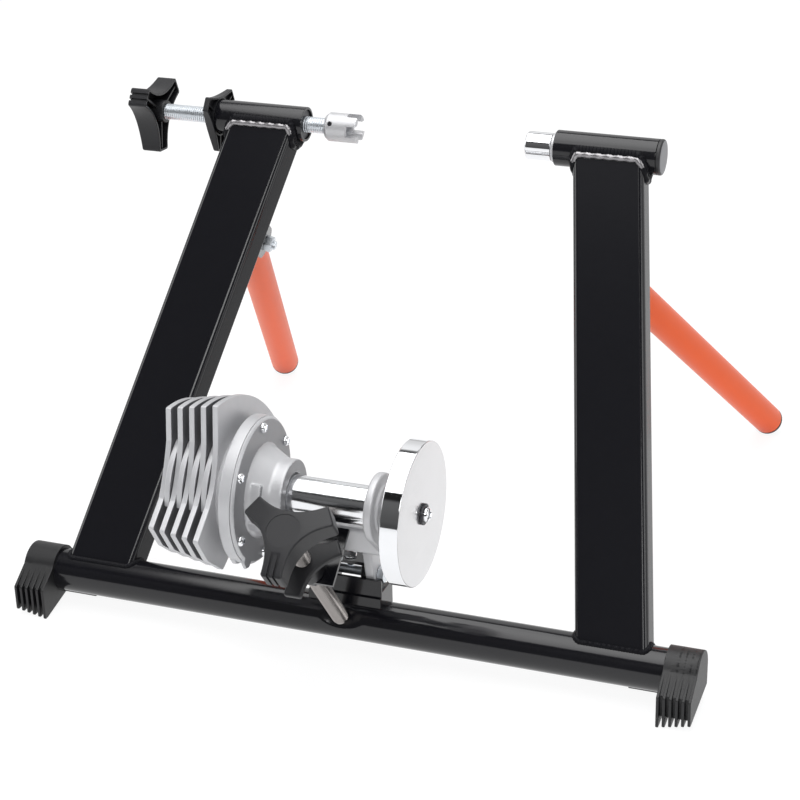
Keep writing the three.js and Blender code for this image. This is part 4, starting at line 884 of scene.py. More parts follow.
def hollowed(body, outline, depth, boss, web, sunk, turn):
    """The body hollowed out from its foot, with a boss and a web in each lobe left standing."""
    kept_parts = [turned(bar_outline(-7, depth + 1, boss), Matrix(), 64)]
    for lobe in range(3):
        sheet = box_outline(0, -web / 2, 60, web / 2)
        kept_parts.append(raised(sheet, sunk, depth + 1, lobe_turn(turn, lobe)))
    tool = combined(raised(outline, -5, depth, Matrix()), kept_parts, "DIFFERENCE")
    return combined(body, [tool], "DIFFERENCE")


def knob_shell(turn, grooved, reach, lobe_width):
    """Large knob: hollow, crowned, with two grooves over the end of one lobe."""
    shape = (reach, lobe_width, KNOB["waist"], turn)
    length = KNOB["length"]
    body = crowned(lobed_outline(*shape), length, 0.5, 1.4, KNOB["flat"], KNOB["drop"])
    hollow = lobed_outline(*shape, corner=2, margin=KNOB["wall"])
    body = hollowed(body, hollow, KNOB["depth"], KNOB["boss"], KNOB["web"], KNOB["web_sunk"], turn)
    root, beyond = reach - KNOB["groove_depth"], 5
    section = [
        (KNOB["groove_start"], length), (root, length - KNOB["drop"] - KNOB["groove_depth"]),
        (root, -beyond), (reach + beyond, -beyond), (reach + beyond, length + beyond),
        (KNOB["groove_start"], length + beyond),
    ]
    lay = lobe_turn(turn, grooved) @ Matrix.Rotation(math.pi / 2, 4, "X")
    grooves = [
        raised(section, middle - KNOB["groove_width"] / 2, middle + KNOB["groove_width"] / 2, lay)
        for middle in (-KNOB["groove_pitch"] / 2, KNOB["groove_pitch"] / 2)
    ]
    return combined(body, grooves, "DIFFERENCE")


HANDLE_FACE = -258.5
HANDLE_TURN = math.radians(24.4)
handle_body = knob_shell(HANDLE_TURN, 1, 36, 17)
handle_boss = turned(bar_outline(-4, 12, 10, 0.8), Matrix(), 64)
rod_hole = turned(bar_outline(-9, 3.8, ROD_RADIUS + RUNNING_GAP), Matrix(), 48)
handle_body = combined(combined(handle_body, [handle_boss], "UNION"), [rod_hole], "DIFFERENCE")
outward_flip = Matrix.Scale(-1, 4, (0, 0, 1))
handle_body.transform(across(CLAMP_Y, CLAMP_HEIGHT, WHEEL_X + HANDLE_FACE) @ outward_flip)
bmesh.ops.recalc_face_normals(handle_body, faces=handle_body.faces)
finished(
    "lobed_handle", handle_body, charcoal_plastic, "clamp_drive", "charcoal_plastic",
    "clamp_handle",
)
LOCK_FACE = -201.2
LOCK_TURN = math.radians(23)
lock_shape = (30.5, 13, 17.8, LOCK_TURN)
lock_shape = (30.5, 13, 17.8, LOCK_TURN)
lock_body = crowned(lobed_outline(*lock_shape, corner=2), 8, 0.4, 1.0, 14, 3)
lock_hollow = lobed_outline(*lock_shape, corner=1.6, margin=1.5)
lock_body = hollowed(lock_body, lock_hollow, 3.6, 17, 1.4, 0.8, LOCK_TURN)
lock_body = combined(lock_body, [
    turned(bar_outline(-5, 5.3, CLAMP_RADIUS + 0.8), Matrix(), 64),
    turned(bar_outline(-6, 12, ROD_RADIUS + RUNNING_GAP), Matrix(), 48),
], "DIFFERENCE")
lock_body.transform(across(CLAMP_Y, CLAMP_HEIGHT, WHEEL_X + LOCK_FACE) @ outward_flip)
bmesh.ops.recalc_face_normals(lock_body, faces=lock_body.faces)
finished(
    "lobed_rod_lock", lock_body, charcoal_plastic, "clamp_lock", "charcoal_plastic",
    "clamp_lock_nut",
)

# Notched cup: a turned steel cup on the rod's inner end. Two milled slots cross its mouth and leave
# four teeth, and a small set screw holds it in the rod's neck.
CUP_FACE, CUP_FLOOR, CUP_RADIUS = -69.4, -79.4, 12.6
SLOT_WIDTH = 10
PIN_RISE = math.radians(30)
PIN_ALONG = -93.5
cup_outline = rounded([
    (-100, ROD_RADIUS + 0.2), (-100, 10.2), (-97, CUP_RADIUS), (CUP_FACE, CUP_RADIUS),
    (CUP_FACE, 8), (CUP_FLOOR, 8), (-83.7, ROD_RADIUS + 0.2),
], [0, 0.6, 1.5, 1.2, 0.6, 0.5, 0], 4)
cup_body = turned(cup_outline + [cup_outline[0]], Matrix())
half_slot = SLOT_WIDTH / 2
slots = [
    raised(box_outline(-half_slot, -20, half_slot, 20), CUP_FLOOR, -60, Matrix()),
    raised(box_outline(-20, -half_slot, 20, half_slot), CUP_FLOOR, -60, Matrix()),
]
outward = Vector((0, -math.cos(PIN_RISE), math.sin(PIN_RISE)))
pin_turn = Vector((0, 0, 1)).rotation_difference(outward).to_matrix().to_4x4()
pin_middle = Vector((WHEEL_X + PIN_ALONG, CLAMP_Y - MIDDLE_Y, CLAMP_HEIGHT))
pin_place = Matrix.Translation(pin_middle) @ pin_turn
cup_body = combined(cup_body, slots, "DIFFERENCE")
cup_body.transform(clamp_place)
pin_hole = turned(bar_outline(7, 20, 2.2), pin_place, 32)
cup_body = combined(cup_body, [pin_hole], "DIFFERENCE")
finished("slotted_cup", cup_body, satin_steel, "clamp_end", "satin_steel", "notched_cup")
pin_body = turned(bar_outline(5.5, 12, 2, 0.3), pin_place, 32)
socket = raised([polar(1.1, corner * math.pi / 3) for corner in range(6)], 10.6, 14, pin_place)
finished(
    "cup_grub_screw", combined(pin_body, [socket], "DIFFERENCE"), dark_oxide, "clamp_end",
    "dark_steel", "cup_set_screw",
)

# Fixed cup: bright chromed cup on the right, with a turned collar against the tube's mouth.
bright_chrome = shop_material(
    "bright_chrome_plate", (0.86, 0.87, 0.89), 0.05, metallic=1.0, grain=400, relief=0.01,
    spread=0.02, mottle=0.02,
)
fixed_outline = [(95.8, 0)] + rounded(
    [(95.8, 0), (94, 8.5), (82.8, 8.5), (82.8, 12), (105.2, 12), (105.2, 6), (127.2, 6)],
    [0, 1.0, 0.5, 1.8, 0.4, 0, 0], 5, False,
)[1:] + [(127.2, 0)]
finished(
    "fixed_axle_cup", turned(fixed_outline, clamp_place), bright_chrome, "frame",
    "polished_steel", "fixed_cup",
)
collar_outline = rounded([
    (105.5, 6.3), (105.5, 12.5), (108.4, 12.5), (108.4, 12.9), (127.2, 12.9), (127.2, 6.3),
], [0, 1.0, 0.3, 0, 0, 0], 4)
finished(
    "turned_collar", turned(collar_outline + [collar_outline[0]], clamp_place), satin_steel,
    "frame", "satin_steel", "cup_collar",
)

# Legs: round tubes in satin orange powder coat with a thin plastic cap. Each folds on a bolt
# through two ears of a bracket on the far face of its upright.
satin_orange = shop_material(
    "satin_orange_paint", (1.0, 0.135, 0.028), 0.33, grain=420, relief=0.03, spread=0.04,
    mottle=0.03, specular=0.12,
)
LEG_RADIUS = 14.3
LEG_WALL = 1.8
LEG_TIP = 3
LEG_ENDS = {"left": (-271.4, 512), "right": (250.3, 521)}
BRACKET_INNER = LEG_RADIUS + 0.6
BRACKET_SHEET = 2.6
EAR_RADIUS = 14.5
EAR_EDGE = 0.6
PIVOT_ALONG = 325
PIVOT_BEHIND = 34.5
PIVOT_INWARD = 3
PIVOT_HOLE = 4.3
PIVOT_BOLT = 4
BOLT_HEAD = 13


def hexagon(width):
    return [polar(width / math.sqrt(3), corner * math.pi / 3) for corner in range(6)]


def hex_head(width, low, high, place, hole=0.0):
    """A hexagon head or nut whose corners are turned off."""
    body = raised(hexagon(width), low, high, place)
    shoulder = width * 0.07
    ball = turned([
        (low - 0.1, 0), (low - 0.1, width * 0.5), (low + shoulder, width * 0.6),
        (high - shoulder, width * 0.6), (high + 0.1, width * 0.5), (high + 0.1, 0),
    ], place, 64)
    body = combined(body, [ball], "INTERSECT")
    if hole > 0:
        bore = turned(bar_outline(low - 3, high + 3, hole), place, 32)
        body = combined(body, [bore], "DIFFERENCE")
    return body


for word, side in (("left", -1), ("right", 1)):
    axes = upright_axes(side)
    base, along, side_axis, out, _ = axes
    pivot = base + along * PIVOT_ALONG + out * PIVOT_BEHIND - side_axis * side * PIVOT_INWARD
    end = Vector((*LEG_ENDS[word], 0))
    for _ in range(4):
        slant = (end - pivot).normalized()
        end.z = LEG_RADIUS * math.sqrt(1 - slant.z ** 2)
    down = end - pivot
    length = down.length
    down.normalize()
    pin = down.cross(-along).normalized()
    if pin.x < 0:
        pin.negate()
    up = -down
    turn = Matrix((pin, up.cross(pin), up)).transposed().to_4x4()
    here = Matrix.Translation((WHEEL_X + pivot.x, pivot.y - MIDDLE_Y, pivot.z)) @ turn
    sideways = here @ Matrix(((0, 0, 1, 0), (1, 0, 0, 0), (0, 1, 0, 0), (0, 0, 0, 1)))
    tube_end = LEG_TIP + 0.3 - length
    tube = turned(tube_outline(tube_end, 7, LEG_RADIUS, LEG_RADIUS - LEG_WALL, 0.7), here)
    drill = turned(bar_outline(-20, 20, PIVOT_HOLE), sideways, 32)
    finished(
        f"orange_leg_{word}", combined(tube, [drill], "DIFFERENCE"), satin_orange, f"{word}_leg",
        "orange_paint", f"leg_{word}",
    )
    plug_radius, plug_end = 12.2, tube_end + 14
    cap = rounded([
        (-length, 0), (-length, LEG_RADIUS), (-length + LEG_TIP, LEG_RADIUS),
        (-length + LEG_TIP, plug_radius), (plug_end, plug_radius), (plug_end, 0),
    ], [0, 0.9, 0.2, 0, 0.5, 0], 4, False)
    finished(
        f"leg_cap_{word}", turned(cap, here), moulded_plug, f"{word}_leg", "foot_rubber",
        f"leg_tip_{word}",
    )
    box_place = upright_place(axes)
    face = UPRIGHT["depth"] / 2 + 0.05
    plate_place = box_place @ Matrix.Translation((-side * PIVOT_INWARD, 0, PIVOT_ALONG)) @ Matrix(
        ((1, 0, 0, 0), (0, 0, 1, 0), (0, -1, 0, 0), (0, 0, 0, 1)),
    )
    plate = raised(rectangle(44, 52, 6), face, face + 2.4, plate_place, 0.7, 3)
    to_face = here.inverted().to_3x3() @ -out
    heading = math.atan2(to_face.z, to_face.y)
    ears = []
    for start in (BRACKET_INNER, -BRACKET_INNER - BRACKET_SHEET):
        ring = [polar(EAR_RADIUS, heading + math.radians(90 + step * 6)) for step in range(31)]
        reach = Vector(polar(60, heading))
        foot_pair = [Vector(polar(EAR_RADIUS, heading - math.pi / 2)) + reach,
                     Vector(polar(EAR_RADIUS, heading + math.pi / 2)) + reach]
        ears.append(raised(
            ring + [tuple(point) for point in foot_pair], start, start + BRACKET_SHEET, sideways,
            EAR_EDGE, 3,
        ))
    bracket_body = combined(plate, ears, "UNION")
    blank_place = box_place @ Matrix.Translation((0, face - 60, PIVOT_ALONG))
    blank = raised(box_outline(-70, -60, 70, 60), -90, 90, blank_place)
    bore = turned(bar_outline(-30, 30, PIVOT_HOLE), sideways, 32)
    bracket_body = combined(bracket_body, [blank, bore], "DIFFERENCE")
    finished(
        f"leg_hinge_{word}", bracket_body, gloss_black, "frame", "black_paint",
        f"leg_bracket_{word}",
    )
    head_face = BRACKET_INNER + BRACKET_SHEET + 0.1
    facing = sideways @ Matrix.Scale(1 if side < 0 else -1, 4, (0, 0, 1))
    shank = turned(bar_outline(-head_face, head_face + 9.5, PIVOT_BOLT, 0.6), facing, 48)
    head = hex_head(BOLT_HEAD, -head_face - 5.3, -head_face, facing)
    bolt = combined(shank, [head], "UNION")
    bmesh.ops.recalc_face_normals(bolt, faces=bolt.faces)
    finished(f"leg_pivot_bolt_{word}", bolt, zinc_plate, "frame", "zinc_plate", f"leg_bolt_{word}")
    nut = hex_head(BOLT_HEAD, head_face, head_face + 6.5, facing, PIVOT_BOLT + 0.1)
    bmesh.ops.recalc_face_normals(nut, faces=nut.faces)
    finished(f"leg_pivot_nut_{word}", nut, zinc_plate, "frame", "zinc_plate", f"leg_nut_{word}")

# Tilt hinge: a folded and welded steel block on the base tube, in gloss black, with two ears for
# the hinge bolt and a bridge that a domed socket screw goes through.
HINGE_Y, HINGE_HEIGHT = 10, 70
TOWER = (1.5, 18.5)
BRACKET_HALF = 32
hinge_place = across(0, 0)
bracket_parts = [
    raised(box_outline(*corners), -BRACKET_HALF, BRACKET_HALF, hinge_place, 0.8, 3)
    for corners in ((-7, BASE_HEIGHT, 22, 55.4), (-5, BASE_HEIGHT, -2, 71))
]
for start in (-BRACKET_HALF, BRACKET_HALF - 3):
    end_wall = box_outline(-5, BASE_HEIGHT, 22, 60)
    bracket_parts.append(raised(end_wall, start, start + 3, hinge_place, 0.8, 3))
for start in (-16.2, 12.6):
    ear = [polar(11, math.radians(step * 9)) for step in range(21)]
    ear = [(x + HINGE_Y, y + HINGE_HEIGHT) for x, y in ear] + [(-1, 40), (21, 40)]
    bracket_parts.append(raised(ear, start, start + 3.6, hinge_place, 0.7, 3))
    tower = rounded(box_outline(TOWER[0], 68, TOWER[1], 83), 1, 3)
    bracket_parts.append(raised(tower, start, start + 3.6, hinge_place, 0.7, 3))
bridge = box_outline(TOWER[0], 80, TOWER[1], 83)
bracket_parts.append(raised(bridge, -16.2, 16.2, hinge_place, 0.7, 3))
block = combined(bracket_parts[0], bracket_parts[1:], "UNION")
bolt_place = across(HINGE_Y, HINGE_HEIGHT)
screw_place = Matrix.Translation((WHEEL_X, HINGE_Y - MIDDLE_Y, 0))
block = combined(block, [
    turned(bar_outline(-40, 40, BASE_RADIUS + 0.05), across(0, BASE_HEIGHT, 0), 120),
    turned(bar_outline(-40, 40, PIVOT_HOLE), bolt_place, 48),
    turned(bar_outline(70, 90, 3.3), screw_place, 32),
], "DIFFERENCE")
finished("tilt_bracket", block, gloss_black, "frame", "black_paint", "hinge_bracket")
bolt = combined(
    turned(bar_outline(-34.8, 25.3, PIVOT_BOLT, 0.6), bolt_place, 48),
    [hex_head(BOLT_HEAD, 25.2, 30.6, bolt_place)], "UNION",
)
finished("tilt_bolt", bolt, zinc_plate, "frame", "zinc_plate", "hinge_bolt")
nut = hex_head(BOLT_HEAD, -31.8, -25.3, bolt_place, PIVOT_BOLT + 0.1)
finished("tilt_nut", nut, zinc_plate, "frame", "zinc_plate", "hinge_nut")


def domed(seat, radius, rise, steps=8):
    """The rounded top of a screw's head, from its rim up."""
    turns = [math.radians(step * 11.25) for step in range(steps)]
    return [(seat + rise * math.sin(angle), radius * math.cos(angle)) for angle in turns]


dome = [(83.05, 5.6)] + domed(83.05 + 0.4, 5.6, 3.15)
screw = turned([(75.3, 0), (75.3, 3), (83.05, 3)] + dome + [(86.6, 0)], screw_place, 48)
drive = raised(hexagon(4.8), 85, 90, screw_place)
finished(
    "domed_screw", combined(screw, [drive], "DIFFERENCE"), bright_chrome, "frame", "polished_steel",
    "bracket_screw",
)

# Finned housing: a die casting in satin silver that holds the fluid. Five cooling fins are cut away
# at the rear, where short curved bars stand between them on the drum. Their sides in the gaps are
# painted darker as shade.
cast_silver = shop_material(
    "satin_cast_silver", (0.58, 0.58, 0.59), 0.4, metallic=0.3, grain=1100, relief=0.16,
    spread=0.07, mottle=0.05, patch=90,
)
UNIT_Y = -48
UNIT_HEIGHT = 164.3
unit_place = across(UNIT_Y, UNIT_HEIGHT)
FIN_START = -117.6
FIN_PITCH = 10.5
FIN_THICKNESS = 4.6
FIN_COUNT = 5
FIN_GROWTH = 0.03
FIN_CENTRE = (-33, -52.7)
CROWN_RADIUS = 127.4
CROWN_FRONT = 36.5
CROWN_SWEEP = 50.6
BAR_RADIUS = 51
BAR_THICKNESS = 4.8
DRUM_RADIUS = 45
FLANGE_START = -62.5
NOTCH_TOP = math.radians(121.8)
NOTCH_BOTTOM = math.radians(172.6)


def arc_points(radius, start, end, steps):
    return [polar(radius, start + (end - start) * step / steps) for step in range(steps + 1)]


def fin_outline(scale):
    """Side view of one fin: crown, notch at the rear, and sole."""
    centre = Vector(FIN_CENTRE) * scale
    angles = [math.radians(CROWN_FRONT + step * CROWN_SWEEP / 24) for step in range(25)]
    crown = [tuple(centre + Vector(polar(CROWN_RADIUS * scale, angle))) for angle in angles]
    top = Vector(polar(56 * scale, NOTCH_TOP))
    low = Vector(polar(50 * scale, NOTCH_BOTTOM))
    control = Vector(polar(DRUM_RADIUS - 0.3, (NOTCH_TOP + NOTCH_BOTTOM) / 2))
    notch = []
    for step in range(13):
        part = step / 12
        bend = top * (1 - part) ** 2 + control * 2 * part * (1 - part) + low * part ** 2
        notch.append(tuple(bend))
    corners = [polar(radius * scale, math.radians(angle)) for radius, angle in (
        (72, 187.2), (65, 209), (60.8, 236.2), (43 / scale, 262), (62, 330),
    )]
    radii = [1.5] + [0] * (len(crown) - 2) + [1.5, 3] + [0] * (len(notch) - 2) + [2, 2, 4, 4, 2, 3]
    return rounded(crown + notch + corners, radii, 3)


fins = []
margin = (NOTCH_BOTTOM - NOTCH_TOP) / 8
for index in range(FIN_COUNT):
    start = FIN_START + index * FIN_PITCH
    outline = fin_outline(1 + index * FIN_GROWTH)
    fins.append(raised(outline, start, start + FIN_THICKNESS, unit_place, 0.6, 3))
    if index < FIN_COUNT - 1:
        bar = arc_points(BAR_RADIUS, NOTCH_TOP - margin, NOTCH_BOTTOM + margin, 20)
        bar += [polar(40, NOTCH_BOTTOM + margin), polar(40, NOTCH_TOP - margin)]
        bar_start = start + FIN_THICKNESS / 2 + (FIN_PITCH - BAR_THICKNESS) / 2
        fins.append(raised(bar, bar_start, bar_start + BAR_THICKNESS, unit_place, 1.0, 3))
drum = rounded([
    (FIN_START, 0), (FIN_START, 40), (FIN_START + FIN_THICKNESS, DRUM_RADIUS),
    (FLANGE_START, DRUM_RADIUS), (FLANGE_START, 60), (-52.6, 60), (-52.6, 0),
], [0, 2, 2, 1.5, 1.2, 0.3, 0], 4, False)
lug_turn = Matrix.Rotation(math.radians(232), 4, "Z")


def flange_lug(low, high, shoulder, middle):
    """A pointed lug on the rim of the flange or of the cover."""
    corners = [(53, -7), (shoulder, -7), (middle, 0), (shoulder, 7), (53, 7)]
    lug = rounded(corners, [0, 1.5, 1.5, 1.5, 0], 4)
    return raised(lug, low, high, unit_place @ lug_turn, 0.8, 3)


housing_parts = fins + [flange_lug(FLANGE_START, -58.5, 60, 62)]
finned = finished(
    "finned_shell", combined(turned(drum, unit_place), housing_parts, "UNION"), cast_silver,
    "resistance_unit", "cast_aluminium", "finned_housing",
)
# Painted shade: the fin sides inside the gaps get a darker copy of the cast silver.
gap_shade_casting = shop_material(
    "painted_gap_shade_silver", (0.20, 0.20, 0.21), 0.5, metallic=0.3, grain=1100, relief=0.16,
    spread=0.07, mottle=0.08, patch=90,
)
finned.data.materials.append(gap_shade_casting)
first_gap = (WHEEL_X + FIN_START + 1) * MILLIMETRE
last_gap = (WHEEL_X + FIN_START + (FIN_COUNT - 1) * FIN_PITCH + 1) * MILLIMETRE
for polygon in finned.data.polygons:
    if abs(polygon.normal.x) > 0.9 and first_gap < polygon.center.x < last_gap:
        polygon.material_index = 1

# Yoke: one sand-finished casting that covers the housing, narrows in a cone to a bearing boss, and
# carries the far ear on a beam under the roller. Two lugs take the hinge bolt. The faces of the
# cover and the boss are turned, and painted darker than the cast skin as the shade that falls on
# them.
YOKE_VOXEL = 0.85
LUG_LOW, LUG_HIGH = (-7, 97), (5, 106)
BEAM_TOP, BEAM_LOW = (-44, 139), (-37, 115)
COVER_FACE = -49.7
cone = rounded([
    (-52.7, 0), (-52.7, 59.8), (COVER_FACE, 57.6), (COVER_FACE, 38), (-33, 28.5), (-23, 28.5),
    (-23, 17.8), (-27, 17.8), (-27, 0),
], [0, 0, 0.6, 1.2, 6, 1, 0.8, 0.5, 0], 6, False)


def in_unit(y, z):
    return y - UNIT_Y, z - UNIT_HEIGHT


ear_roots = [in_unit(*corner) for corner in (BEAM_TOP, BEAM_LOW, LUG_LOW, LUG_HIGH)]
beam = ear_roots + [in_unit(-12, 131), in_unit(-28, 142)]
yoke_parts = [raised(rounded(beam, 3, 4), -50, 52, unit_place, 1.0, 2)]
hinge_in_unit = Vector(in_unit(HINGE_Y, HINGE_HEIGHT))


def hull(points):
    return [tuple(points[index]) for index in convex_hull_2d(points)]


def ring_points(centre, radius, count=48):
    middle = Vector(centre)
    return [tuple(middle + Vector(polar(radius, step * math.tau / count))) for step in range(count)]


for start in (-25, 17):
    lug = hull(ring_points(hinge_in_unit, 11) + [in_unit(*LUG_LOW), in_unit(*LUG_HIGH)])
    yoke_parts.append(raised(lug, start, start + 8, unit_place, 1.0, 2))
ear = hull(ring_points((0, 0), 28) + ear_roots)
yoke_parts.append(raised(ear, 45, 52, unit_place, 1.5, 3))
yoke_parts.append(turned(bar_outline(44.5, 54.5, 19.5, 1.0), unit_place))
gusset_turn = Matrix.Rotation(math.radians(205), 4, "Z")
gusset = box_outline(0, -4.5, 38, 4.5)
yoke_parts.append(raised(gusset, -50, -33, unit_place @ gusset_turn, 1.0, 2))
root_block = [(0, 0)] + arc_points(36, math.radians(145), math.radians(245), 30)
yoke_parts.append(raised(root_block, -50, -38, unit_place, 0.5, 2))
yoke_parts.append(flange_lug(-52.5, COVER_FACE, 62, 65))
yoke_body = combined(turned(cone, unit_place), yoke_parts, "UNION")
hinge_bore = unit_place @ Matrix.Translation((*hinge_in_unit, 0))
yoke_body = combined(yoke_body, [
    turned(bar_outline(-60, 60, 7.5), unit_place, 64),
    turned(bar_outline(45.7, 60, 14.2), unit_place),
    turned(bar_outline(-30, 30, PIVOT_HOLE), hinge_bore, 48),
], "DIFFERENCE")
cast = mesh_object("cast", yoke_body)
remesh = cast.modifiers.new("skin", "REMESH")
remesh.mode = "VOXEL"
remesh.voxel_size = YOKE_VOXEL
remesh.use_smooth_shade = True
soften = cast.modifiers.new("soften", "SMOOTH")
soften.factor = 0.5
soften.iterations = 3
applied(cast)
yoke_shell = bmesh.new()
yoke_shell.from_mesh(cast.data)
bpy.data.objects.remove(cast)
yoke = finished(
    "cast_yoke", yoke_shell, cast_silver, "resistance_unit", "cast_aluminium", "yoke_casting",
    sharp=80,
)
# Painted shade: the cover's and the boss's faces toward the flywheel get a darker copy of the cast
# silver.
shaded_face_casting = shop_material(
    "painted_shade_cast_silver", (0.30, 0.30, 0.31), 0.4, metallic=0.3, grain=1100, relief=0.1,
    spread=0.05, mottle=0.06, patch=90,
)
yoke.data.materials.append(shaded_face_casting)
for polygon in yoke.data.polygons:
    if polygon.normal.x > 0.94 and polygon.center.x < -0.02:
        polygon.material_index = 1

# Cover screws: six bright domed socket screws in a ring round the cover.
screw_tree, given, screw_inputs = grower_tree(
    "screw_ring", ("Count", "Int"), ("Ring Radius", "Float"), ("First Angle", "Float"),
    ("Chrome", "Material"),
)
circle = add_node(screw_tree, "GeometryNodeMeshCircle", feeds={
    "Vertices": given["Count"], "Radius": given["Ring Radius"],
})
heading = add_node(screw_tree, "ShaderNodeCombineXYZ", feeds={"Z": given["First Angle"]})
swing = add_node(screw_tree, "GeometryNodeTransform", feeds={
    "Geometry": circle.outputs["Mesh"], "Rotation": heading.outputs["Vector"],
})
scatter = add_node(screw_tree, "GeometryNodeInstanceOnPoints", feeds={
    "Points": swing.outputs["Geometry"], "Instance": given["Geometry"],
})
tree_end(screw_tree, scatter.outputs["Instances"], given["Chrome"])
SCREW_COUNT = 6
SCREW_RING = 52.6
FIRST_SCREW = math.radians(24)
button = [(-62.7, 0), (-62.7, 2.5), (-49.6, 2.5), (-49.6, 4.3)]
button += domed(-49.2, 4.3, 3.1) + [(-46.1, 0)]
button_drive = raised(hexagon(4.4), -48.1, -40, Matrix())
button_body = combined(turned(button, Matrix(), 40), [button_drive], "DIFFERENCE")
ring_sizes = (SCREW_COUNT, SCREW_RING, FIRST_SCREW, bright_chrome)
ring_of_screws = grown(button_body, screw_tree, screw_inputs, ring_sizes)
ring_of_screws.transform(unit_place)
finished(
    "cover_screw_ring", ring_of_screws, bright_chrome, "resistance_unit", "polished_steel",
    *[f"cover_screw_{number}" for number in range(1, SCREW_COUNT + 1)],
)

# Rotor: ground steel shaft in two bearings, with the impeller inside, the chromed roller that the
# tyre drives, and a heavy flywheel with a satin turned face and a polished rim.
ROLLER_START, ROLLER_END, ROLLER_RADIUS = -25.5, 43, 16.3
WHEEL_START, WHEEL_END, WHEEL_RADIUS = 69.7, 85, 57.9
SHAFT_RADIUS = 6
SHAFT_BORE = SHAFT_RADIUS + 0.2
roller_chrome = shop_material(
    "ground_roller_chrome", (0.84, 0.85, 0.87), 0.15, metallic=1.0, grain=300, relief=0.015,
    spread=0.02, mottle=0.02, stretch=(12, 1, 1),
)
flywheel_face = shop_material(
    "turned_flywheel_steel", (0.77, 0.77, 0.78), 0.22, metallic=0.9, grain=260, relief=0.03,
    spread=0.05, mottle=0.03,
)
roller_outline = rounded([
    (ROLLER_START, 7.2), (ROLLER_START, ROLLER_RADIUS), (ROLLER_END, ROLLER_RADIUS),
    (ROLLER_END, 7.2),
], [0, 1.0, 1.0, 0], 5)
finished(
    "chromed_roller", turned(roller_outline + [roller_outline[0]], unit_place, 128),
    roller_chrome, "rotor", "roller_chrome", "roller",
)
shaft_outline = [
    (-104, 0), (-104, SHAFT_RADIUS), (ROLLER_START, SHAFT_RADIUS), (ROLLER_START, 7),
    (ROLLER_END, 7), (ROLLER_END, SHAFT_RADIUS), (85.5, SHAFT_RADIUS), (86, 5.5), (86, 3.2),
    (73.3, 3.2), (73.3, 0),
]
finished(
    "roller_spindle", turned(shaft_outline, unit_place, 64), satin_steel, "rotor",
    "satin_steel", "roller_shaft",
)
sleeve = turned(tube_outline(53.7, 69.4, 9.5, SHAFT_BORE, 0.5), unit_place, 64)
finished("flywheel_sleeve", sleeve, satin_steel, "rotor", "satin_steel", "flywheel_spacer")
wheel_outline = rounded([
    (WHEEL_START, SHAFT_BORE), (WHEEL_START, WHEEL_RADIUS), (WHEEL_END, WHEEL_RADIUS),
    (WHEEL_END, SHAFT_BORE),
], [0, 1.0, 0.8, 0], 5)
wheel = finished(
    "flywheel_disc", turned(wheel_outline + [wheel_outline[0]], unit_place, 160), flywheel_face,
    "rotor", "flywheel_chrome", "flywheel",
)
wheel.data.materials.append(bright_chrome)
for polygon in wheel.data.polygons:
    if abs(polygon.normal.x) < 0.5:
        polygon.material_index = 1
washer = turned(tube_outline(85.3, 87.3, 8.6, SHAFT_BORE, 0.4), unit_place, 64)
finished("flywheel_washer_ring", washer, dark_oxide, "rotor", "dark_steel", "flywheel_washer")
dome_turns = [math.radians(step * 11.25) for step in range(9)]
hub_screw = turned([(73.6, 0), (73.6, 3), (87.6, 3), (87.6, 6)] + [
    (88.6 + 2.8 * math.sin(angle), 6 - 4.4 * (1 - math.cos(angle))) for angle in dome_turns
] + [(91.4, 0)], Matrix(), 48)
hub_screw = combined(hub_screw, [raised(hexagon(5), 89.4, 96, Matrix())], "DIFFERENCE")
hub_screw.transform(unit_place)
finished(
    "flywheel_socket_screw", hub_screw, bright_chrome, "rotor", "polished_steel",
    "flywheel_screw",
)

# Arm and tension bolt: a folded steel plate screwed under the beam carries the nut. The bright
# steel bolt goes through it to the dent in the base tube, with a lobed lock and a large knob on it.
TENSION_LEAN = math.radians(38.5)
bolt_turn = Matrix.Rotation(TENSION_LEAN, 4, "X")
tension_place = Matrix.Translation((WHEEL_X, -15.15 - MIDDLE_Y, 37.4)) @ bolt_turn
TENSION_RADIUS = 7
TENSION_CORE = TENSION_RADIUS - 0.35
TENSION_HOLE = TENSION_RADIUS + RUNNING_GAP
TENSION_PITCH = 1.75
TENSION_RIDGE = 0.32
TIP_RADIUS = 11
TENSION_TURN = math.radians(30)
plain_steel = shop_material(
    "plain_bolt_steel", (0.34, 0.32, 0.31), 0.22, metallic=1.0, grain=500, relief=0.02,
    spread=0.03, mottle=0.04, patch=200,
)
tip = [
    (TIP_RADIUS - math.sqrt(TIP_RADIUS ** 2 - reach ** 2), reach) for reach in (0, 1.5, 3, 4.5, 5.7)
]
tip += [(2.1, TENSION_CORE), (164, TENSION_CORE), (164, 0)]
bolt_body = threaded(
    turned(tip, Matrix(), 64), 4, 158, TENSION_PITCH, TENSION_CORE, TENSION_RIDGE, tension_place,
)
finished(
    "threaded_tension_bolt", bolt_body, plain_steel, "tension_screw", "zinc_plate",
    "tension_bolt", sharp=50,
)
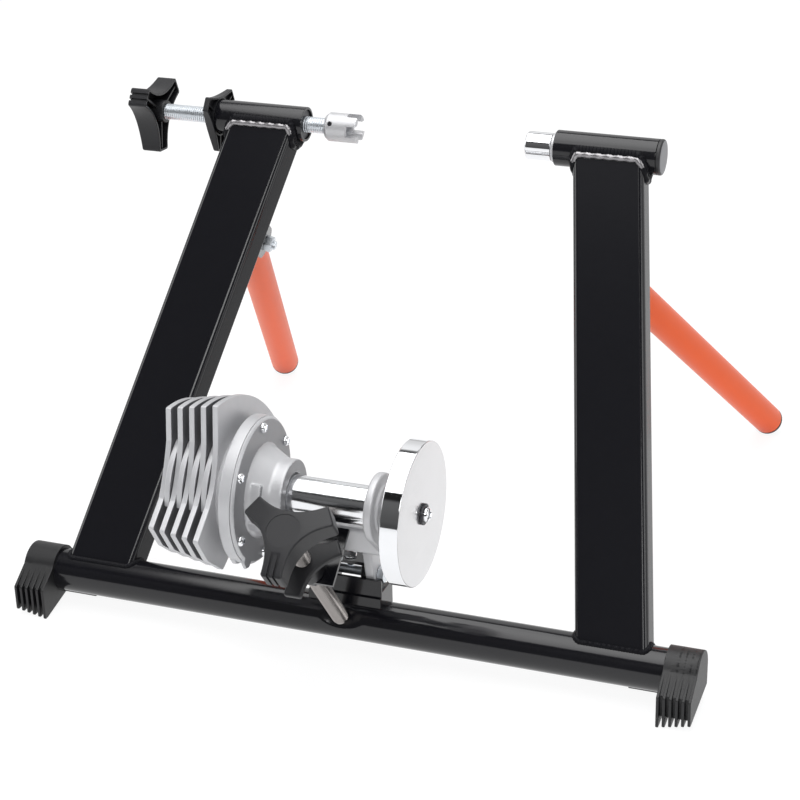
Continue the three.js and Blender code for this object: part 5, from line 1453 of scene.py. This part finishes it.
lock_body = combined(
    raised(lobed_outline(31, 14.5, 14.5, TENSION_TURN, 3), 115, 121, Matrix(), 1.8, 4),
    [turned(bar_outline(98.5, 117, 12, 0.5), Matrix(), 64)], "UNION",
)
lock_hole = turned(bar_outline(85, 125, TENSION_HOLE), Matrix(), 64)
lock_body = combined(lock_body, [lock_hole], "DIFFERENCE")
lock_body.transform(tension_place)
finished(
    "lobed_tension_lock", lock_body, charcoal_plastic, "tension_lock", "charcoal_plastic",
    "tension_lock_nut",
)
KNOB_START = 156
knob_body = combined(knob_shell(TENSION_TURN, 2, 38, 18), [
    turned(bar_outline(-5, 10.5, TENSION_HOLE), Matrix(), 64),
    turned(bar_outline(20.1, 25, 13.5), Matrix()),
], "DIFFERENCE")
knob_body.transform(tension_place @ Matrix.Translation((0, 0, KNOB_START)))
finished(
    "lobed_tension_knob", knob_body, charcoal_plastic, "tension_hand_knob", "charcoal_plastic",
    "tension_knob",
)

# The arm takes its form from its CAD solid, with the edges eased as a folded plate's are.
arm_shell = bmesh.new()
arm_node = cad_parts["tension_arm"]
arm_shell.from_mesh(arm_node.data)
arm_shell.transform(Matrix.Scale(1 / MILLIMETRE, 4) @ arm_node.matrix_world)
bmesh.ops.dissolve_limit(
    arm_shell, angle_limit=math.radians(2), verts=arm_shell.verts, edges=arm_shell.edges,
)
arm_edges = [edge for edge in arm_shell.edges if edge.calc_face_angle(0) > math.radians(40)]
bmesh.ops.bevel(
    arm_shell, geom=arm_edges, offset=0.6, segments=2, affect="EDGES", clamp_overlap=True,
)
finished("folded_arm", arm_shell, gloss_black, "resistance_unit", "black_paint", "tension_arm")

# CAD solids that stay as they are get the finish of their slot.
kept = {
    "arm_screw": zinc_plate, "arm_nut": dark_oxide, "bearing_left": satin_steel,
    "bearing_right": satin_steel, "shaft_seal": matt_rubber, "impeller": cast_silver,
}
for name, material in kept.items():
    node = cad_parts[name]
    node.data.materials.clear()
    node.data.materials.append(material)

low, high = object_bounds()
sizes = {"cad": [list(cad_low), list(cad_high)], "visual": [list(low), list(high)]}
